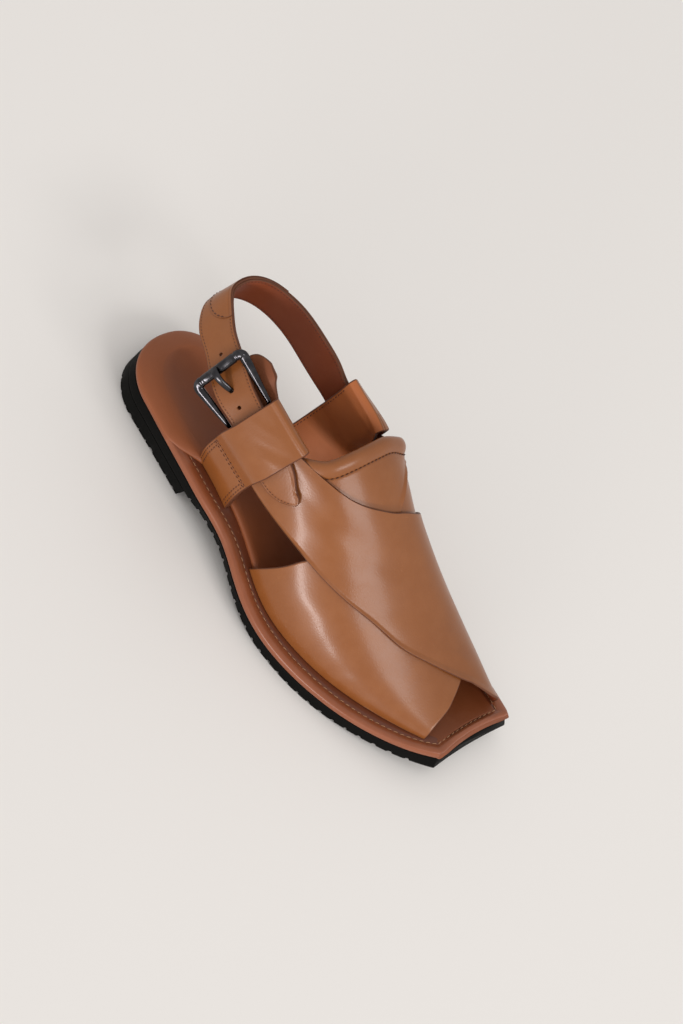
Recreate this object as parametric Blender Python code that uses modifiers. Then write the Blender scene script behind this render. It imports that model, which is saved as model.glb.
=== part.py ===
# Peshawari chappal, a right shoe: a rubber sole with a stacked heel, a leather-wrapped midsole, a padded
# insole, an upper of two crossing bands, two side loops, and a heel strap with a prong buckle.
# +X points to the toe, +Y to the wearer's left (the inner side of the foot), +Z up. Sizes are in
# millimetres here and in metres in the scene.
#
# Every cross-section lies in a plane that leans with the heel and the toe edge. A place on the shoe is a
# station along the length, an across measure in that plane, and a height.

import math

import bmesh
import bpy
import numpy as np
from mathutils import Vector

MM = 0.001
GAP = 0.3
FOOT_GAP = 1.3

# Plan of the shoe
LEAN = 0.186
SPREAD = 0.983
MIDDLE_X = 145.26
MIDDLE_Y = -9.32
HEEL_ROUND = 33.0
INSOLE_HEEL_ROUND = 30.0
HEEL_SQUARENESS = 2.2
HEEL_REAR_ACROSS = 6.2
TOE_STATION = 282.0
TOE_HOLLOW = 2.4
TOE_HOLLOW_START = 240.0
TOE_FLARE = 0.4

# Layers of the sole
OUTSOLE_THICKNESS = 7.3
MIDSOLE_THICKNESS = 4.8
INSOLE_THICKNESS = 3.2
LUG_PITCH = 7.6
LUG_GROOVE = 2.0
LUG_DEPTH = 1.3
HEEL_BREAST = 83.5
HEEL_BREAST_SLANT = 2.5
HEEL_NOTCHES = (30.0, 52.0)
HEEL_NOTCH_WIDTH = 2.4
HEEL_HEIGHT = 18.0
EDGE_OVERHANG = 0.6
HEEL_DISH = 1.4
STEP = 0.05

# Leather and straps
BAND_THICKNESS = 1.8
UNDER_BAND_LIFT = 0.0
OVER_BAND_LIFT = 1.3
STRAP_THICKNESS = 2.6
LOOP_THICKNESS = 1.8
OUTER_WALL = 38.0

# Plan of the sole: station, outer edge, inner edge, height of the outsole's top
SOLE_TABLE = (
    (33, -31.7, 31.7, 18.0),
    (56, -37.2, 28.6, 18.0),
    (79, -42.4, 26.4, 18.0),
    (92, -45.2, 26.2, 17.8),
    (105, -46.8, 26.9, 16.9),
    (121, -49.5, 29.5, 14.5),
    (137, -55.2, 34.0, 12.0),
    (154, -61.0, 39.0, 9.6),
    (173, -64.4, 42.8, 7.7),
    (194, -64.2, 45.2, 6.9),
    (218, -60.2, 45.6, 7.3),
    (238, -54.4, 43.2, 9.0),
    (258, -45.4, 38.2, 11.8),
    (273, -36.0, 33.2, 15.0),
    (282, -28.4, 29.6, 17.4),
)

# How far the rubber tapers in from its edge to the ground: station, inset
UNDER_CUT_TABLE = (
    (0, 0.0),
    (30, 1.1),
    (50, 2.2),
    (80, 2.9),
    (115, 3.1),
    (150, 2.2),
    (185, 1.0),
    (205, 0.0),
)

# Plan of the padded insole: station, outer edge, inner edge
INSOLE_TABLE = (
    (33, -28.7, 28.7),
    (50, -29.6, 26.0),
    (66, -28.6, 21.6),
    (90, -31.0, 20.6),
    (118, -37.0, 22.0),
    (140, -44.6, 26.4),
    (158, -50.2, 29.6),
    (187, -51.8, 33.0),
    (212, -47.8, 34.0),
    (237, -39.8, 32.4),
    (258, -30.4, 28.6),
    (269, -23.6, 25.0),
)

# The last: station, base outer, base inner, widest outer, widest inner, crown across, crown height,
# fullness outer, fullness inner, height over which the inner wall leans out
LAST_TABLE = (
    (66, -29.5, 24.0, -31.5, 42.0, 8, 108.0, 2.10, 5.0, 110),
    (90, -32.0, 23.6, -35.5, 40.5, 8, 104.0, 2.20, 4.0, 105),
    (118, -38.0, 25.0, -40.0, 41.8, 6, 96.0, 2.35, 3.0, 58),
    (140, -46.0, 29.4, -46.5, 41.0, 7, 86.3, 2.20, 2.8, 38),
    (158, -51.5, 32.6, -51.5, 37.4, 8, 76.5, 2.10, 2.6, 38),
    (187, -53.0, 35.4, -53.0, 37.2, 8, 60.5, 2.10, 2.5, 38),
    (212, -49.0, 36.2, -49.0, 37.4, 8, 48.5, 2.10, 2.4, 38),
    (237, -41.0, 34.4, -41.0, 34.6, 9, 38.5, 2.10, 2.3, 38),
    (267, -27.5, 26.0, -27.5, 26.0, 10, 30.5, 2.10, 2.2, 38),
    (282, -20.0, 20.5, -20.0, 20.5, 10, 28.0, 2.10, 2.2, 38),
)

# Under band, from the outer forefoot to the inner loop. Its rear edge carries the collar. Station and girth
# share (0 at the outer base, 1 at the inner base) of the rear edge, then of the front edge
UNDER_BAND_TABLE = (
    (139.0, 0.000, 268.0, 0.000),
    (144.3, 0.058, 267.2, 0.100),
    (149.4, 0.125, 264.6, 0.225),
    (152.0, 0.179, 261.3, 0.332),
    (133.0, 0.243, 254.4, 0.436),
    (110.5, 0.305, 247.0, 0.510),
    (114.5, 0.345, 238.0, 0.575),
    (117.3, 0.400, 225.0, 0.630),
    (118.3, 0.470, 205.0, 0.680),
    (118.0, 0.560, 182.0, 0.735),
    (117.0, 0.640, 158.0, 0.790),
    (111.0, 0.730, 134.0, 0.845),
    (103.0, 0.785, 118.0, 0.885),
    (96.0, 0.820, 98.0, 0.910),
)

# Over band, from the inner forefoot to the outer loop: its toe edge, then its collar edge
OVER_BAND_TABLE = (
    (270.0, 1.000, 146.0, 1.000),
    (270.0, 0.820, 150.0, 0.910),
    (266.8, 0.657, 155.5, 0.800),
    (259.6, 0.552, 158.8, 0.690),
    (249.5, 0.471, 158.6, 0.600),
    (230.5, 0.382, 154.9, 0.508),
    (217.0, 0.335, 150.2, 0.458),
    (202.0, 0.306, 144.5, 0.414),
    (187.0, 0.270, 136.5, 0.371),
    (171.0, 0.234, 127.0, 0.337),
    (145.0, 0.178, 117.0, 0.306),
    (118.0, 0.119, 107.0, 0.281),
    (97.0, 0.106, 95.0, 0.255),
    (83.0, 0.105, 83.0, 0.240),
)

# Side loops: rear station at the base and top, front station at the base and top, top height at the rear and
# front, lift of the inner ply, lift of the outer ply, height where the plies part, where they are full apart,
# spread at the fold, how far the sides bow to the heel
LOOP_TABLE = {
    "side_loop_outer": (72.0, 72.5, 104.0, 106.0, 88.5, 86.0, -0.7, 6.9, 44.0, 57.0, 1.0, 2.2),
    "side_loop_inner": (78.5, 80.5, 110.0, 113.5, 90.4, 90.0, -2.4, 4.2, 42.0, 56.0, 0.4, 0.0),
}
FOLD_CLOSE = 3.5
BOW_TOP = 0.7
LOOP_FOOT = 0.9

# Heel strap where it lies free: its lower edge, then its upper edge, each as station, across, height
STRAP_FREE_TABLE = (
    (71.0, -33.2, 66.0, 71.0, -25.0, 85.5),
    (60.5, -32.2, 66.5, 61.5, -22.5, 86.0),
    (49.5, -29.3, 67.0, 51.5, -18.5, 86.5),
    (38.0, -22.5, 67.0, 38.0, -11.8, 86.0),
    (27.0, -15.5, 66.5, 27.0, -6.0, 85.5),
    (16.2, -9.5, 66.0, 17.0, 2.0, 85.0),
    (8.0, -1.5, 66.0, 10.0, 7.0, 86.0),
    (3.0, 6.0, 66.5, 5.5, 12.0, 87.0),
    (1.5, 13.0, 67.0, 3.8, 18.0, 87.5),
    (2.5, 20.5, 67.5, 4.0, 24.5, 88.0),
    (6.5, 27.5, 68.0, 6.8, 31.0, 88.5),
    (13.0, 33.0, 68.0, 13.0, 36.3, 89.0),
    (21.0, 36.2, 68.0, 21.5, 39.2, 89.5),
    (31.0, 37.5, 68.0, 31.5, 40.5, 90.0),
    (43.0, 37.2, 67.5, 44.0, 40.0, 90.0),
    (56.0, 35.4, 66.8, 57.0, 39.2, 89.0),
    (68.0, 34.0, 66.0, 68.0, 38.6, 87.6),
)

# Heel strap under the outer loop and on to its tip: station, lower height, upper height
STRAP_TIP_TABLE = (
    (125.6, 68.0, 69.2),
    (124.0, 66.5, 71.0),
    (120.0, 63.5, 72.8),
    (113.5, 61.0, 76.2),
    (106.0, 60.5, 79.2),
    (94.0, 61.5, 81.5),
    (82.0, 62.6, 82.6),
)
STRAP_TIP_LIFT = 3.9

# Buckle, measured along the strap from its tip, across it, and inwards from its outer face
OUTER_BAR_RUN = 82.0
OUTER_BAR_SKEW = (2.2, -0.9)
OUTER_BAR_DEPTH = -4.6
OUTER_BAR_RADIUS = 2.7
LEG_RADIUS = 2.2
LEG_END_RADIUS = 1.2
BASE_BAR_RUN = 57.8
BASE_BAR_DEPTH = 5.9
BASE_BAR_RADIUS = 0.9
BUCKLE_WIDTH = 30.7
BUCKLE_BASE_WIDTH = 26.8
BUCKLE_SIDE = -2.1
BUCKLE_CORNER = 3.2
PRONG_RADIUS = 1.1
PRONG_REST_RADII = (1.2, 1.4, 1.5, 1.1)
PRONG_HOLE_RUN = 70.6
STRAP_HOLES = ((60.9, 1.0), (PRONG_HOLE_RUN, 2.3), (92.0, 1.0))
SHIELD_THICKNESS = 2.0
SHIELD_ROUND = 10.0

# Buckle shield from inside the loop to its round end: run, depth of its middle, side of its middle, half width
SHIELD_TABLE = (
    (45.0, 9.3, 1.0, 11.5),
    (51.0, 9.8, 1.5, 12.8),
    (58.0, 10.4, 2.5, 14.6),
    (65.0, 9.4, 3.6, 17.0),
    (72.0, 8.4, 4.4, 18.4),
    (86.5, 7.6, 4.6, 18.0),
)

# Heel strap under the inner loop: station, lower height, upper height
STRAP_INNER_TABLE = (
    (77.5, 64.2, 85.8),
    (86.0, 63.8, 84.9),
    (94.5, 63.6, 84.0),
)
STRAP_INNER_LIFT = 0.4


def spline(table, column, station):
    """Natural cubic through a table's column, against its first column."""
    xs = np.array([row[0] for row in table], float)
    ys = np.array([row[column] for row in table], float)
    station = np.asarray(station, float)
    count = len(xs)
    step = np.diff(xs)
    matrix = np.eye(count)
    right = np.zeros(count)
    for i in range(1, count - 1):
        matrix[i, i - 1] = step[i - 1]
        matrix[i, i] = 2 * (step[i - 1] + step[i])
        matrix[i, i + 1] = step[i]
        right[i] = 6 * ((ys[i + 1] - ys[i]) / step[i] - (ys[i] - ys[i - 1]) / step[i - 1])
    bend = np.linalg.solve(matrix, right)
    k = np.clip(np.searchsorted(xs, station) - 1, 0, count - 2)
    a = (xs[k + 1] - station) / step[k]
    b = (station - xs[k]) / step[k]
    cubic = (a**3 - a) * bend[k] + (b**3 - b) * bend[k + 1]
    return a * ys[k] + b * ys[k + 1] + cubic * step[k] ** 2 / 6


def by_row(table):
    """The table with its row number in front, so that a spline can run through its rows."""
    return tuple((i, *row) for i, row in enumerate(table))


def world(station, across, height):
    """Metres from a station, an across measure and a height."""
    station, across, height = np.broadcast_arrays(station, across, height)
    x = station + LEAN * across - MIDDLE_X
    y = SPREAD * across - MIDDLE_Y
    return np.stack([x, y, height], -1) * MM


def seat_height(station):
    """Height of the outsole's top."""
    return spline(SOLE_TABLE, 3, np.maximum(station, HEEL_ROUND))


def sole_edge(table, column, station, heel_round):
    """Across measure of a sole layer's edge, with its round heel end."""
    station = np.asarray(station, float)
    straight = spline(table, column, np.maximum(station, HEEL_ROUND))
    rear = np.clip((HEEL_ROUND - station) / heel_round, 0, 1)
    width = (1 - rear**HEEL_SQUARENESS) ** (1 / HEEL_SQUARENESS)
    return straight * width + HEEL_REAR_ACROSS * rear


def toe_reach(station):
    """How far a station lies along the toe end, from 0 to 1."""
    return np.clip((station - TOE_HOLLOW_START) / (TOE_STATION - TOE_HOLLOW_START), 0, 1)


def toe_shift(station, share):
    """How far the hollow toe edge pulls a point back; share runs from -1 to 1 across the sole."""
    return TOE_HOLLOW * toe_reach(station) ** 2 * (1 - share**2)


def last_section(station, girth):
    """Across measure and height on the last; girth runs from 0 at the outer base to 1 at the inner base."""
    station = np.asarray(station, float)
    columns = [spline(LAST_TABLE, i, station) for i in range(1, 10)]
    base_out, base_in, wide_out, wide_in, crown, crown_height, full_out, full_in, inner_wall = columns
    base_height = seat_height(station) + MIDSOLE_THICKNESS + FOOT_GAP
    angle = np.clip(girth, 0, 1) * math.pi
    outer = np.cos(angle) >= 0
    full = np.where(outer, full_out, full_in)
    rise = np.clip(np.sin(angle), 0, 1) ** (2 / full)
    height = base_height + (crown_height - base_height) * rise
    wide = np.where(outer, wide_out, wide_in)
    base = np.where(outer, base_out, base_in)
    across = crown + (wide - crown) * np.abs(np.cos(angle)) ** (2 / full)
    wall = np.where(outer, OUTER_WALL, inner_wall)
    tuck = np.clip(1 - (height - base_height) / wall, 0, 1) ** 2
    return across + (base - wide) * tuck, height


def last_point(station, girth, lift=0.0):
    """A point on the last, raised along its outward normal by lift."""
    small = 0.004
    station, girth, lift = np.broadcast_arrays(station, girth, lift)
    point = world(station, *last_section(station, girth))
    after = world(station, *last_section(station, np.clip(girth + small, 0, 1)))
    before = world(station, *last_section(station, np.clip(girth - small, 0, 1)))
    ahead = world(station + 1, *last_section(station + 1, girth))
    behind = world(station - 1, *last_section(station - 1, girth))
    normal = np.cross(ahead - behind, after - before)
    normal /= np.linalg.norm(normal, axis=-1, keepdims=True)
    return point + normal * np.asarray(lift)[..., None] * MM


def girth_at(station, height, inner):
    """The girth share at which the last reaches a height, on its outer or inner side."""
    base_height = seat_height(station) + MIDSOLE_THICKNESS + FOOT_GAP
    crown_height = spline(LAST_TABLE, 6, station)
    full = spline(LAST_TABLE, 8 if inner else 7, station)
    rise = np.clip((height - base_height) / (crown_height - base_height), 0, 1)
    share = np.arcsin(rise ** (full / 2)) / math.pi
    return 1 - share if inner else share


def material(name, colour, roughness, metallic=0.0):
    made = bpy.data.materials.new(name)
    made.use_nodes = True
    shader = made.node_tree.nodes["Principled BSDF"]
    shader.inputs["Base Color"].default_value = (*colour, 1.0)
    shader.inputs["Roughness"].default_value = roughness
    shader.inputs["Metallic"].default_value = metallic
    return made


def add_object(name, mesh, collection, finish):
    made = bpy.data.objects.new(name, mesh)
    collection.objects.link(made)
    if finish:
        mesh.materials.append(finish)
    return made


def loft(name, rings, collection, finish):
    """A closed solid through rings of the same number of points, capped at both ends."""
    shape = bmesh.new()
    rows = [[shape.verts.new(point) for point in ring] for ring in rings]
    size = len(rows[0])
    for low, high in zip(rows, rows[1:]):
        for i in range(size):
            j = (i + 1) % size
            shape.faces.new((low[i], low[j], high[j], high[i]))
    shape.faces.new(rows[0][::-1])
    shape.faces.new(rows[-1])
    return finish_mesh(name, shape, collection, finish)


def finish_mesh(name, shape, collection, finish):
    bmesh.ops.recalc_face_normals(shape, faces=shape.faces)
    mesh = bpy.data.meshes.new(name)
    shape.to_mesh(mesh)
    shape.free()
    mesh.shade_smooth()
    mesh.set_sharp_from_angle(angle=math.radians(40))
    return add_object(name, mesh, collection, finish)


def sheet(name, place, rows, columns, thickness, collection, finish):
    """A leather sheet: a grid laid on place(u, v), then thickened along its outward normals."""
    shape = bmesh.new()
    bmesh.ops.create_grid(shape, x_segments=rows, y_segments=columns, size=0.5)
    spots = np.array([vert.co[:2] for vert in shape.verts]) + 0.5
    for vert, point in zip(shape.verts, place(spots[:, 0], spots[:, 1])):
        vert.co = point
    made = finish_mesh(name, shape, collection, finish)
    solid = made.modifiers.new("thickness", "SOLIDIFY")
    solid.thickness = thickness * MM
    solid.offset = 0
    solid.use_even_offset = True
    return made


def heel_stations(count, first, last):
    """Stations close together round the heel, then even ones up to the last."""
    turn = np.linspace(0, math.pi / 2, count)
    heel = first + (HEEL_ROUND - first) * (1 - np.cos(turn))
    rest = np.linspace(HEEL_ROUND, last, max(2, round((last - HEEL_ROUND) / 7)))
    return np.concatenate([heel, rest[1:]])


def under_cut(station):
    """How far the rubber's ground edge is drawn in at a station."""
    return float(np.interp(station, *zip(*UNDER_CUT_TABLE)))


def inset_edge(table, column, station, heel_round, inset):
    """A place on a layer's edge moved inwards by inset, as station and across."""
    small = 0.05
    inward = 1 if column == 1 else -1
    before = sole_edge(table, column, max(station - small, HEEL_ROUND - heel_round), heel_round)
    after = sole_edge(table, column, station + small, heel_round)
    slope = float(after - before) / (2 * small)
    size = math.hypot(slope, 1)
    across = float(sole_edge(table, column, station, heel_round)) + inward * inset / size
    moved = station - inward * inset * slope / size
    return min(moved, table[-1][0] - inset), across


def layer_ring(table, heel_round, station, levels, crown=0.0, top_points=3):
    """One ring of a sole layer: levels hold (inset, height above the outsole's top) from bottom to top.

    The top sags by crown between its edges, and the toe end follows the hollow toe edge.
    """
    seat = float(seat_height(station))
    outer = [inset_edge(table, 1, station, heel_round, inset) for inset, _ in levels]
    inner = [inset_edge(table, 2, station, heel_round, inset) for inset, _ in levels]
    heights = [seat + height for _, height in levels]
    ring = [(*place, height) for place, height in zip(outer, heights)]
    for k in range(1, top_points + 1):
        share = k / (top_points + 1)
        place = [a + (b - a) * share for a, b in zip(outer[-1], inner[-1])]
        ring.append((*place, heights[-1] - crown * math.sin(math.pi * share) ** 2))
    ring += [(*place, height) for place, height in zip(inner[::-1], heights[::-1])]
    ring.append((*[(a + b) / 2 for a, b in zip(outer[0], inner[0])], heights[0]))
    left = outer[-1][1]
    width = max(inner[-1][1] - left, 1)
    points = []
    flare = TOE_FLARE * toe_reach(station) ** 2
    for moved, across, height in ring:
        share = min(max(2 * (across - left) / width - 1, -1), 1)
        moved -= toe_shift(moved, share) + flare * (height - seat)
        points.append(world(moved, across, height))
    return points


def build_midsole(collection, finish):
    """The leather-wrapped midsole, with a rounded edge that stands just proud of the rubber."""
    roll = MIDSOLE_THICKNESS / 2
    levels = []
    for k in range(5):
        turn = math.pi * k / 4
        inset = roll * 0.55 * (1 - math.sin(turn)) - EDGE_OVERHANG
        levels.append((inset, GAP + roll * (1 - math.cos(turn))))
    rings = [
        layer_ring(SOLE_TABLE, HEEL_ROUND, station, levels)
        for station in heel_stations(9, 0.15, TOE_STATION)
    ]
    return loft("midsole", rings, collection, finish)


def build_insole(collection, finish):
    """The padded insole inside the margin, with a soft edge and a dished heel."""
    base = MIDSOLE_THICKNESS + 2 * GAP
    levels = (
        (0.4, base),
        (0.0, base + 1.2),
        (0.5, base + 2.7),
        (2.2, base + INSOLE_THICKNESS),
    )
    rings = []
    for station in heel_stations(8, 3.2, INSOLE_TABLE[-1][0]):
        dish = HEEL_DISH * math.exp(-(((station - 38) / 34) ** 2))
        rings.append(layer_ring(INSOLE_TABLE, INSOLE_HEEL_ROUND, station, levels, dish))
    return loft("insole", rings, collection, finish)


def build_outsole(collection, finish):
    """The rubber outsole with its arch, toe spring and cross lugs."""
    stations = [(station, 0.0) for station in heel_stations(8, 0.15, 84.0)]
    lug = 88.0
    while lug + LUG_PITCH < TOE_STATION - 4:
        stations += [(lug, 0.0), (lug + STEP, LUG_DEPTH)]
        stations += [(lug + LUG_GROOVE - STEP, LUG_DEPTH), (lug + LUG_GROOVE, 0.0)]
        lug += LUG_PITCH
    stations.append((TOE_STATION, 0.0))
    rings = []
    for station, groove in stations:
        seat = float(seat_height(station))
        ground = max(0.0, seat - OUTSOLE_THICKNESS) + groove - seat
        cut = under_cut(station) * (1.0 if station > HEEL_BREAST else 0.4)
        levels = ((cut - 0.6, ground), (cut - 0.5, ground + 1.4), (0.0, -0.4), (0.3, 0.0))
        rings.append(layer_ring(SOLE_TABLE, HEEL_ROUND, station, levels, top_points=1))
    return loft("outsole", rings, collection, finish)


def build_heel(collection, finish):
    """The stacked rubber heel block with a slanted breast and two cross notches."""
    top = -OUTSOLE_THICKNESS - GAP
    stations = [(station, 0.0) for station in heel_stations(9, 0.6, HEEL_ROUND)][:-1]
    stations = [pair for pair in stations if abs(pair[0] - HEEL_NOTCHES[0]) > HEEL_NOTCH_WIDTH]
    for centre in HEEL_NOTCHES:
        first = centre - HEEL_NOTCH_WIDTH / 2
        last = centre + HEEL_NOTCH_WIDTH / 2
        stations += [(first, 0.0), (first + STEP, LUG_DEPTH), (last - STEP, LUG_DEPTH), (last, 0.0)]
    stations += [(station, 0.0) for station in (38.0, 45.0, 60.0, 68.0, 76.0)]
    stations += [(HEEL_BREAST - HEEL_BREAST_SLANT, 0.0)]
    rings = []
    for station, groove in sorted(stations):
        seat = float(seat_height(station))
        cut = under_cut(station)
        high = 0.4 * cut - 0.4
        levels = ((cut - 0.4, groove - seat), (cut - 0.5, 1.6 - seat), (high, top - 0.5), (high, top))
        rings.append(layer_ring(SOLE_TABLE, HEEL_ROUND, station, levels, top_points=1))
    slant = []
    low = rings[-1]
    shift = HEEL_BREAST_SLANT * MM
    for point in low:
        share = point[2] / ((HEEL_HEIGHT + top) * MM)
        slant.append((point[0] + shift * share, point[1] - LEAN * shift * share, point[2]))
    rings[-1] = slant
    return loft("heel", rings, collection, finish)


def band_place(table, lift):
    """Where a band's sheet lies: u along its length, v from its first edge to its second."""
    rows = by_row(table)

    def place(u, v):
        row = u * (len(table) - 1)
        first = (spline(rows, 1, row), spline(rows, 2, row))
        second = (spline(rows, 3, row), spline(rows, 4, row))
        station = first[0] + (second[0] - first[0]) * v
        girth = np.clip(first[1] + (second[1] - first[1]) * v, 0.002, 0.998)
        return last_point(station, girth, lift + BAND_THICKNESS / 2)

    return place


def build_upper(collection, cutters, finish):
    """The two crossing bands, joined where they cross."""
    under_place = band_place(UNDER_BAND_TABLE, UNDER_BAND_LIFT)
    over_place = band_place(OVER_BAND_TABLE, OVER_BAND_LIFT)
    upper = sheet("upper", under_place, 27, 16, BAND_THICKNESS, collection, finish)
    over = sheet("over_band", over_place, 27, 16, BAND_THICKNESS, cutters, None)
    over.hide_render = True
    over.display_type = "WIRE"
    join = upper.modifiers.new("joined where they cross", "BOOLEAN")
    join.operation = "UNION"
    join.object = over
    return upper


def eased(low, high, value):
    """A soft step from 0 at low to 1 at high."""
    share = min(max((value - low) / (high - low), 0), 1)
    return share * share * (3 - 2 * share)


def build_loop(name, collection, finish):
    """A band from the sole margin, folded over at the top and back down inside."""
    rear_low, rear_high, front_low, front_high, rear_top, front_top = LOOP_TABLE[name][:6]
    inner_lift, outer_lift, part, apart, left, bow = LOOP_TABLE[name][6:]
    inner_side = name.endswith("inner")
    flights = 11
    fold = 6
    inner_centre = inner_lift + LOOP_THICKNESS / 2
    outer_centre = outer_lift + LOOP_THICKNESS / 2
    closed_centre = inner_centre + LOOP_THICKNESS + GAP

    def place(u, v):
        points = np.zeros((len(u), 3))
        for i, (along, up) in enumerate(zip(u, v)):
            step = up * (2 * flights + fold)
            if step <= flights:
                share = step / flights
                turn = 0.0
                ply = 1.0
            elif step >= flights + fold:
                share = (2 * flights + fold - step) / flights
                turn = 0.0
                ply = 0.0
            else:
                share = 1.0
                turn = math.pi * (step - flights) / fold
                ply = (1 + math.cos(turn)) / 2
            rear = rear_low + (rear_high - rear_low) * share
            front = front_low + (front_high - front_low) * share
            station = rear + (front - rear) * along - bow * math.sin(math.pi * min(share / BOW_TOP, 1))
            top = rear_top + (front_top - rear_top) * along
            base = float(seat_height(station)) + MIDSOLE_THICKNESS + FOOT_GAP
            height = base + LOOP_FOOT + (top - base - LOOP_FOOT) * share
            opened = eased(part, apart, height)
            opened *= 1 - (1 - left) * eased(top - FOLD_CLOSE, top, height)
            outer = closed_centre + (outer_centre - closed_centre) * opened
            lift = inner_centre + (outer - inner_centre) * ply
            girth = girth_at(station, height, inner_side)
            point = last_point(station, girth, lift)
            rise = 0.62 * (outer - inner_centre) / 2 * math.sin(turn)
            points[i] = point + np.array((0, 0, rise * MM))
        return points

    return sheet(name, place, 6, 2 * flights + fold, LOOP_THICKNESS, collection, finish)


def strap_lines():
    """The strap's outer face as rows of points from its tip round the heel: lower edge, middle, upper edge."""
    rows = []
    tip = (STRAP_TIP_TABLE, STRAP_TIP_LIFT, False)
    hidden = (STRAP_INNER_TABLE, STRAP_INNER_LIFT, True)
    for table, lift, inner in (tip, hidden):
        part = []
        for station, low, high in table:
            heights = np.array([low, (low + high) / 2, high])
            girth = girth_at(station, heights, inner)
            part.append(last_point(station, girth, lift + STRAP_THICKNESS))
        rows.append(part)
    free = []
    for row in STRAP_FREE_TABLE:
        low = world(*row[:3])
        high = world(*row[3:])
        free.append(np.array([low, (low + high) / 2, high]))
    lines = np.array(rows[0] + free + rows[1])
    steps = np.linalg.norm(np.diff(lines[:, 1], axis=0), axis=1)
    marks = np.concatenate([[0], np.cumsum(steps)]) / MM
    return marks, lines[:, 0], lines[:, 1], lines[:, 2]


def strap_point(run, side, depth):
    """A point of the strap: run along it from its tip, side from its middle line towards its upper edge,
    depth inwards from its outer face."""
    marks, lower, middle, upper = strap_lines()
    run = np.asarray(run, float)

    def line(points, at):
        table = np.column_stack([marks, points])
        return np.stack([spline(table, k, at) for k in (1, 2, 3)], -1)

    low = line(lower, run)
    mid = line(middle, run)
    high = line(upper, run)
    along = line(middle, run + 1) - line(middle, run - 1)
    across = high - low
    width = np.linalg.norm(across, axis=-1, keepdims=True)
    outward = np.cross(across, along)
    outward /= np.linalg.norm(outward, axis=-1, keepdims=True)
    share = 2 * np.asarray(side, float)[..., None] * MM / width
    curve = (low + high) / 2 - mid
    depth = np.asarray(depth, float)[..., None] * MM
    return mid + across / 2 * share + curve * np.minimum(share**2, 1) - outward * depth


def strap_half_width(run):
    marks, lower, _, upper = strap_lines()
    halves = np.linalg.norm(upper - lower, axis=1) / 2 / MM
    return spline(np.column_stack([marks, halves]), 1, run)


def tube(name, points, radii, collection, finish):
    """A round bar along points, with a radius at each."""
    curve = bpy.data.curves.new(name, "CURVE")
    curve.dimensions = "3D"
    curve.bevel_depth = MM
    curve.bevel_resolution = 3
    curve.use_fill_caps = True
    line = curve.splines.new("POLY")
    line.points.add(len(points) - 1)
    for spot, point, radius in zip(line.points, points, radii):
        spot.co = (*point, 1)
        spot.radius = radius
    return add_object(name, curve, collection, finish)


def as_mesh(made):
    """The curve turned into a mesh of the same name, with its caps welded."""
    graph = bpy.context.evaluated_depsgraph_get()
    mesh = bpy.data.meshes.new_from_object(made.evaluated_get(graph))
    shape = bmesh.new()
    shape.from_mesh(mesh)
    bmesh.ops.remove_doubles(shape, verts=shape.verts, dist=0.00001)
    bmesh.ops.recalc_face_normals(shape, faces=shape.faces)
    shape.to_mesh(mesh)
    shape.free()
    mesh.set_sharp_from_angle(angle=math.radians(40))
    name = made.name
    collection = made.users_collection[0]
    bpy.data.objects.remove(made, do_unlink=True)
    kept = bpy.data.objects.new(name, mesh)
    collection.objects.link(kept)
    return kept


def rounded(corners, radius, steps=5):
    """A path through corners (run, side, depth) with each inner corner rounded."""
    path = [Vector(corners[0])]
    for before, corner, after in zip(corners, corners[1:], corners[2:]):
        corner = Vector(corner)
        start = corner + (Vector(before) - corner).normalized() * radius
        end = corner + (Vector(after) - corner).normalized() * radius
        for k in range(steps + 1):
            share = k / steps
            path.append((1 - share) ** 2 * start + 2 * share * (1 - share) * corner + share**2 * end)
    path.append(Vector(corners[-1]))
    return path


def build_strap(collection, cutters, finish):
    """The heel strap, from its pointed tip round the heel to its hidden end in the inner loop."""
    total = strap_lines()[0][-1]

    def place(u, v):
        run = u * total
        half = strap_half_width(run)
        return strap_point(run, half * (2 * v - 1), STRAP_THICKNESS / 2)

    strap = sheet("back_strap", place, 57, 4, STRAP_THICKNESS, collection, finish)
    for run, radius in STRAP_HOLES:
        ends = [strap_point(run, 0.0, depth) for depth in (-2.0, STRAP_THICKNESS + 2.0)]
        hole = as_mesh(tube("strap_hole", ends, [radius] * 2, cutters, None))
        hole.hide_render = True
        hole.display_type = "WIRE"
        cut = strap.modifiers.new("punched hole", "BOOLEAN")
        cut.object = hole
    return strap


def bar_circle(share, radius, run, depth):
    """A place round the base bar, in the strap's own measures; share 0 is the heel side."""
    turn = 2 * math.pi * share
    return (run + radius * math.cos(turn), 0.0, depth + radius * math.sin(turn))


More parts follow.
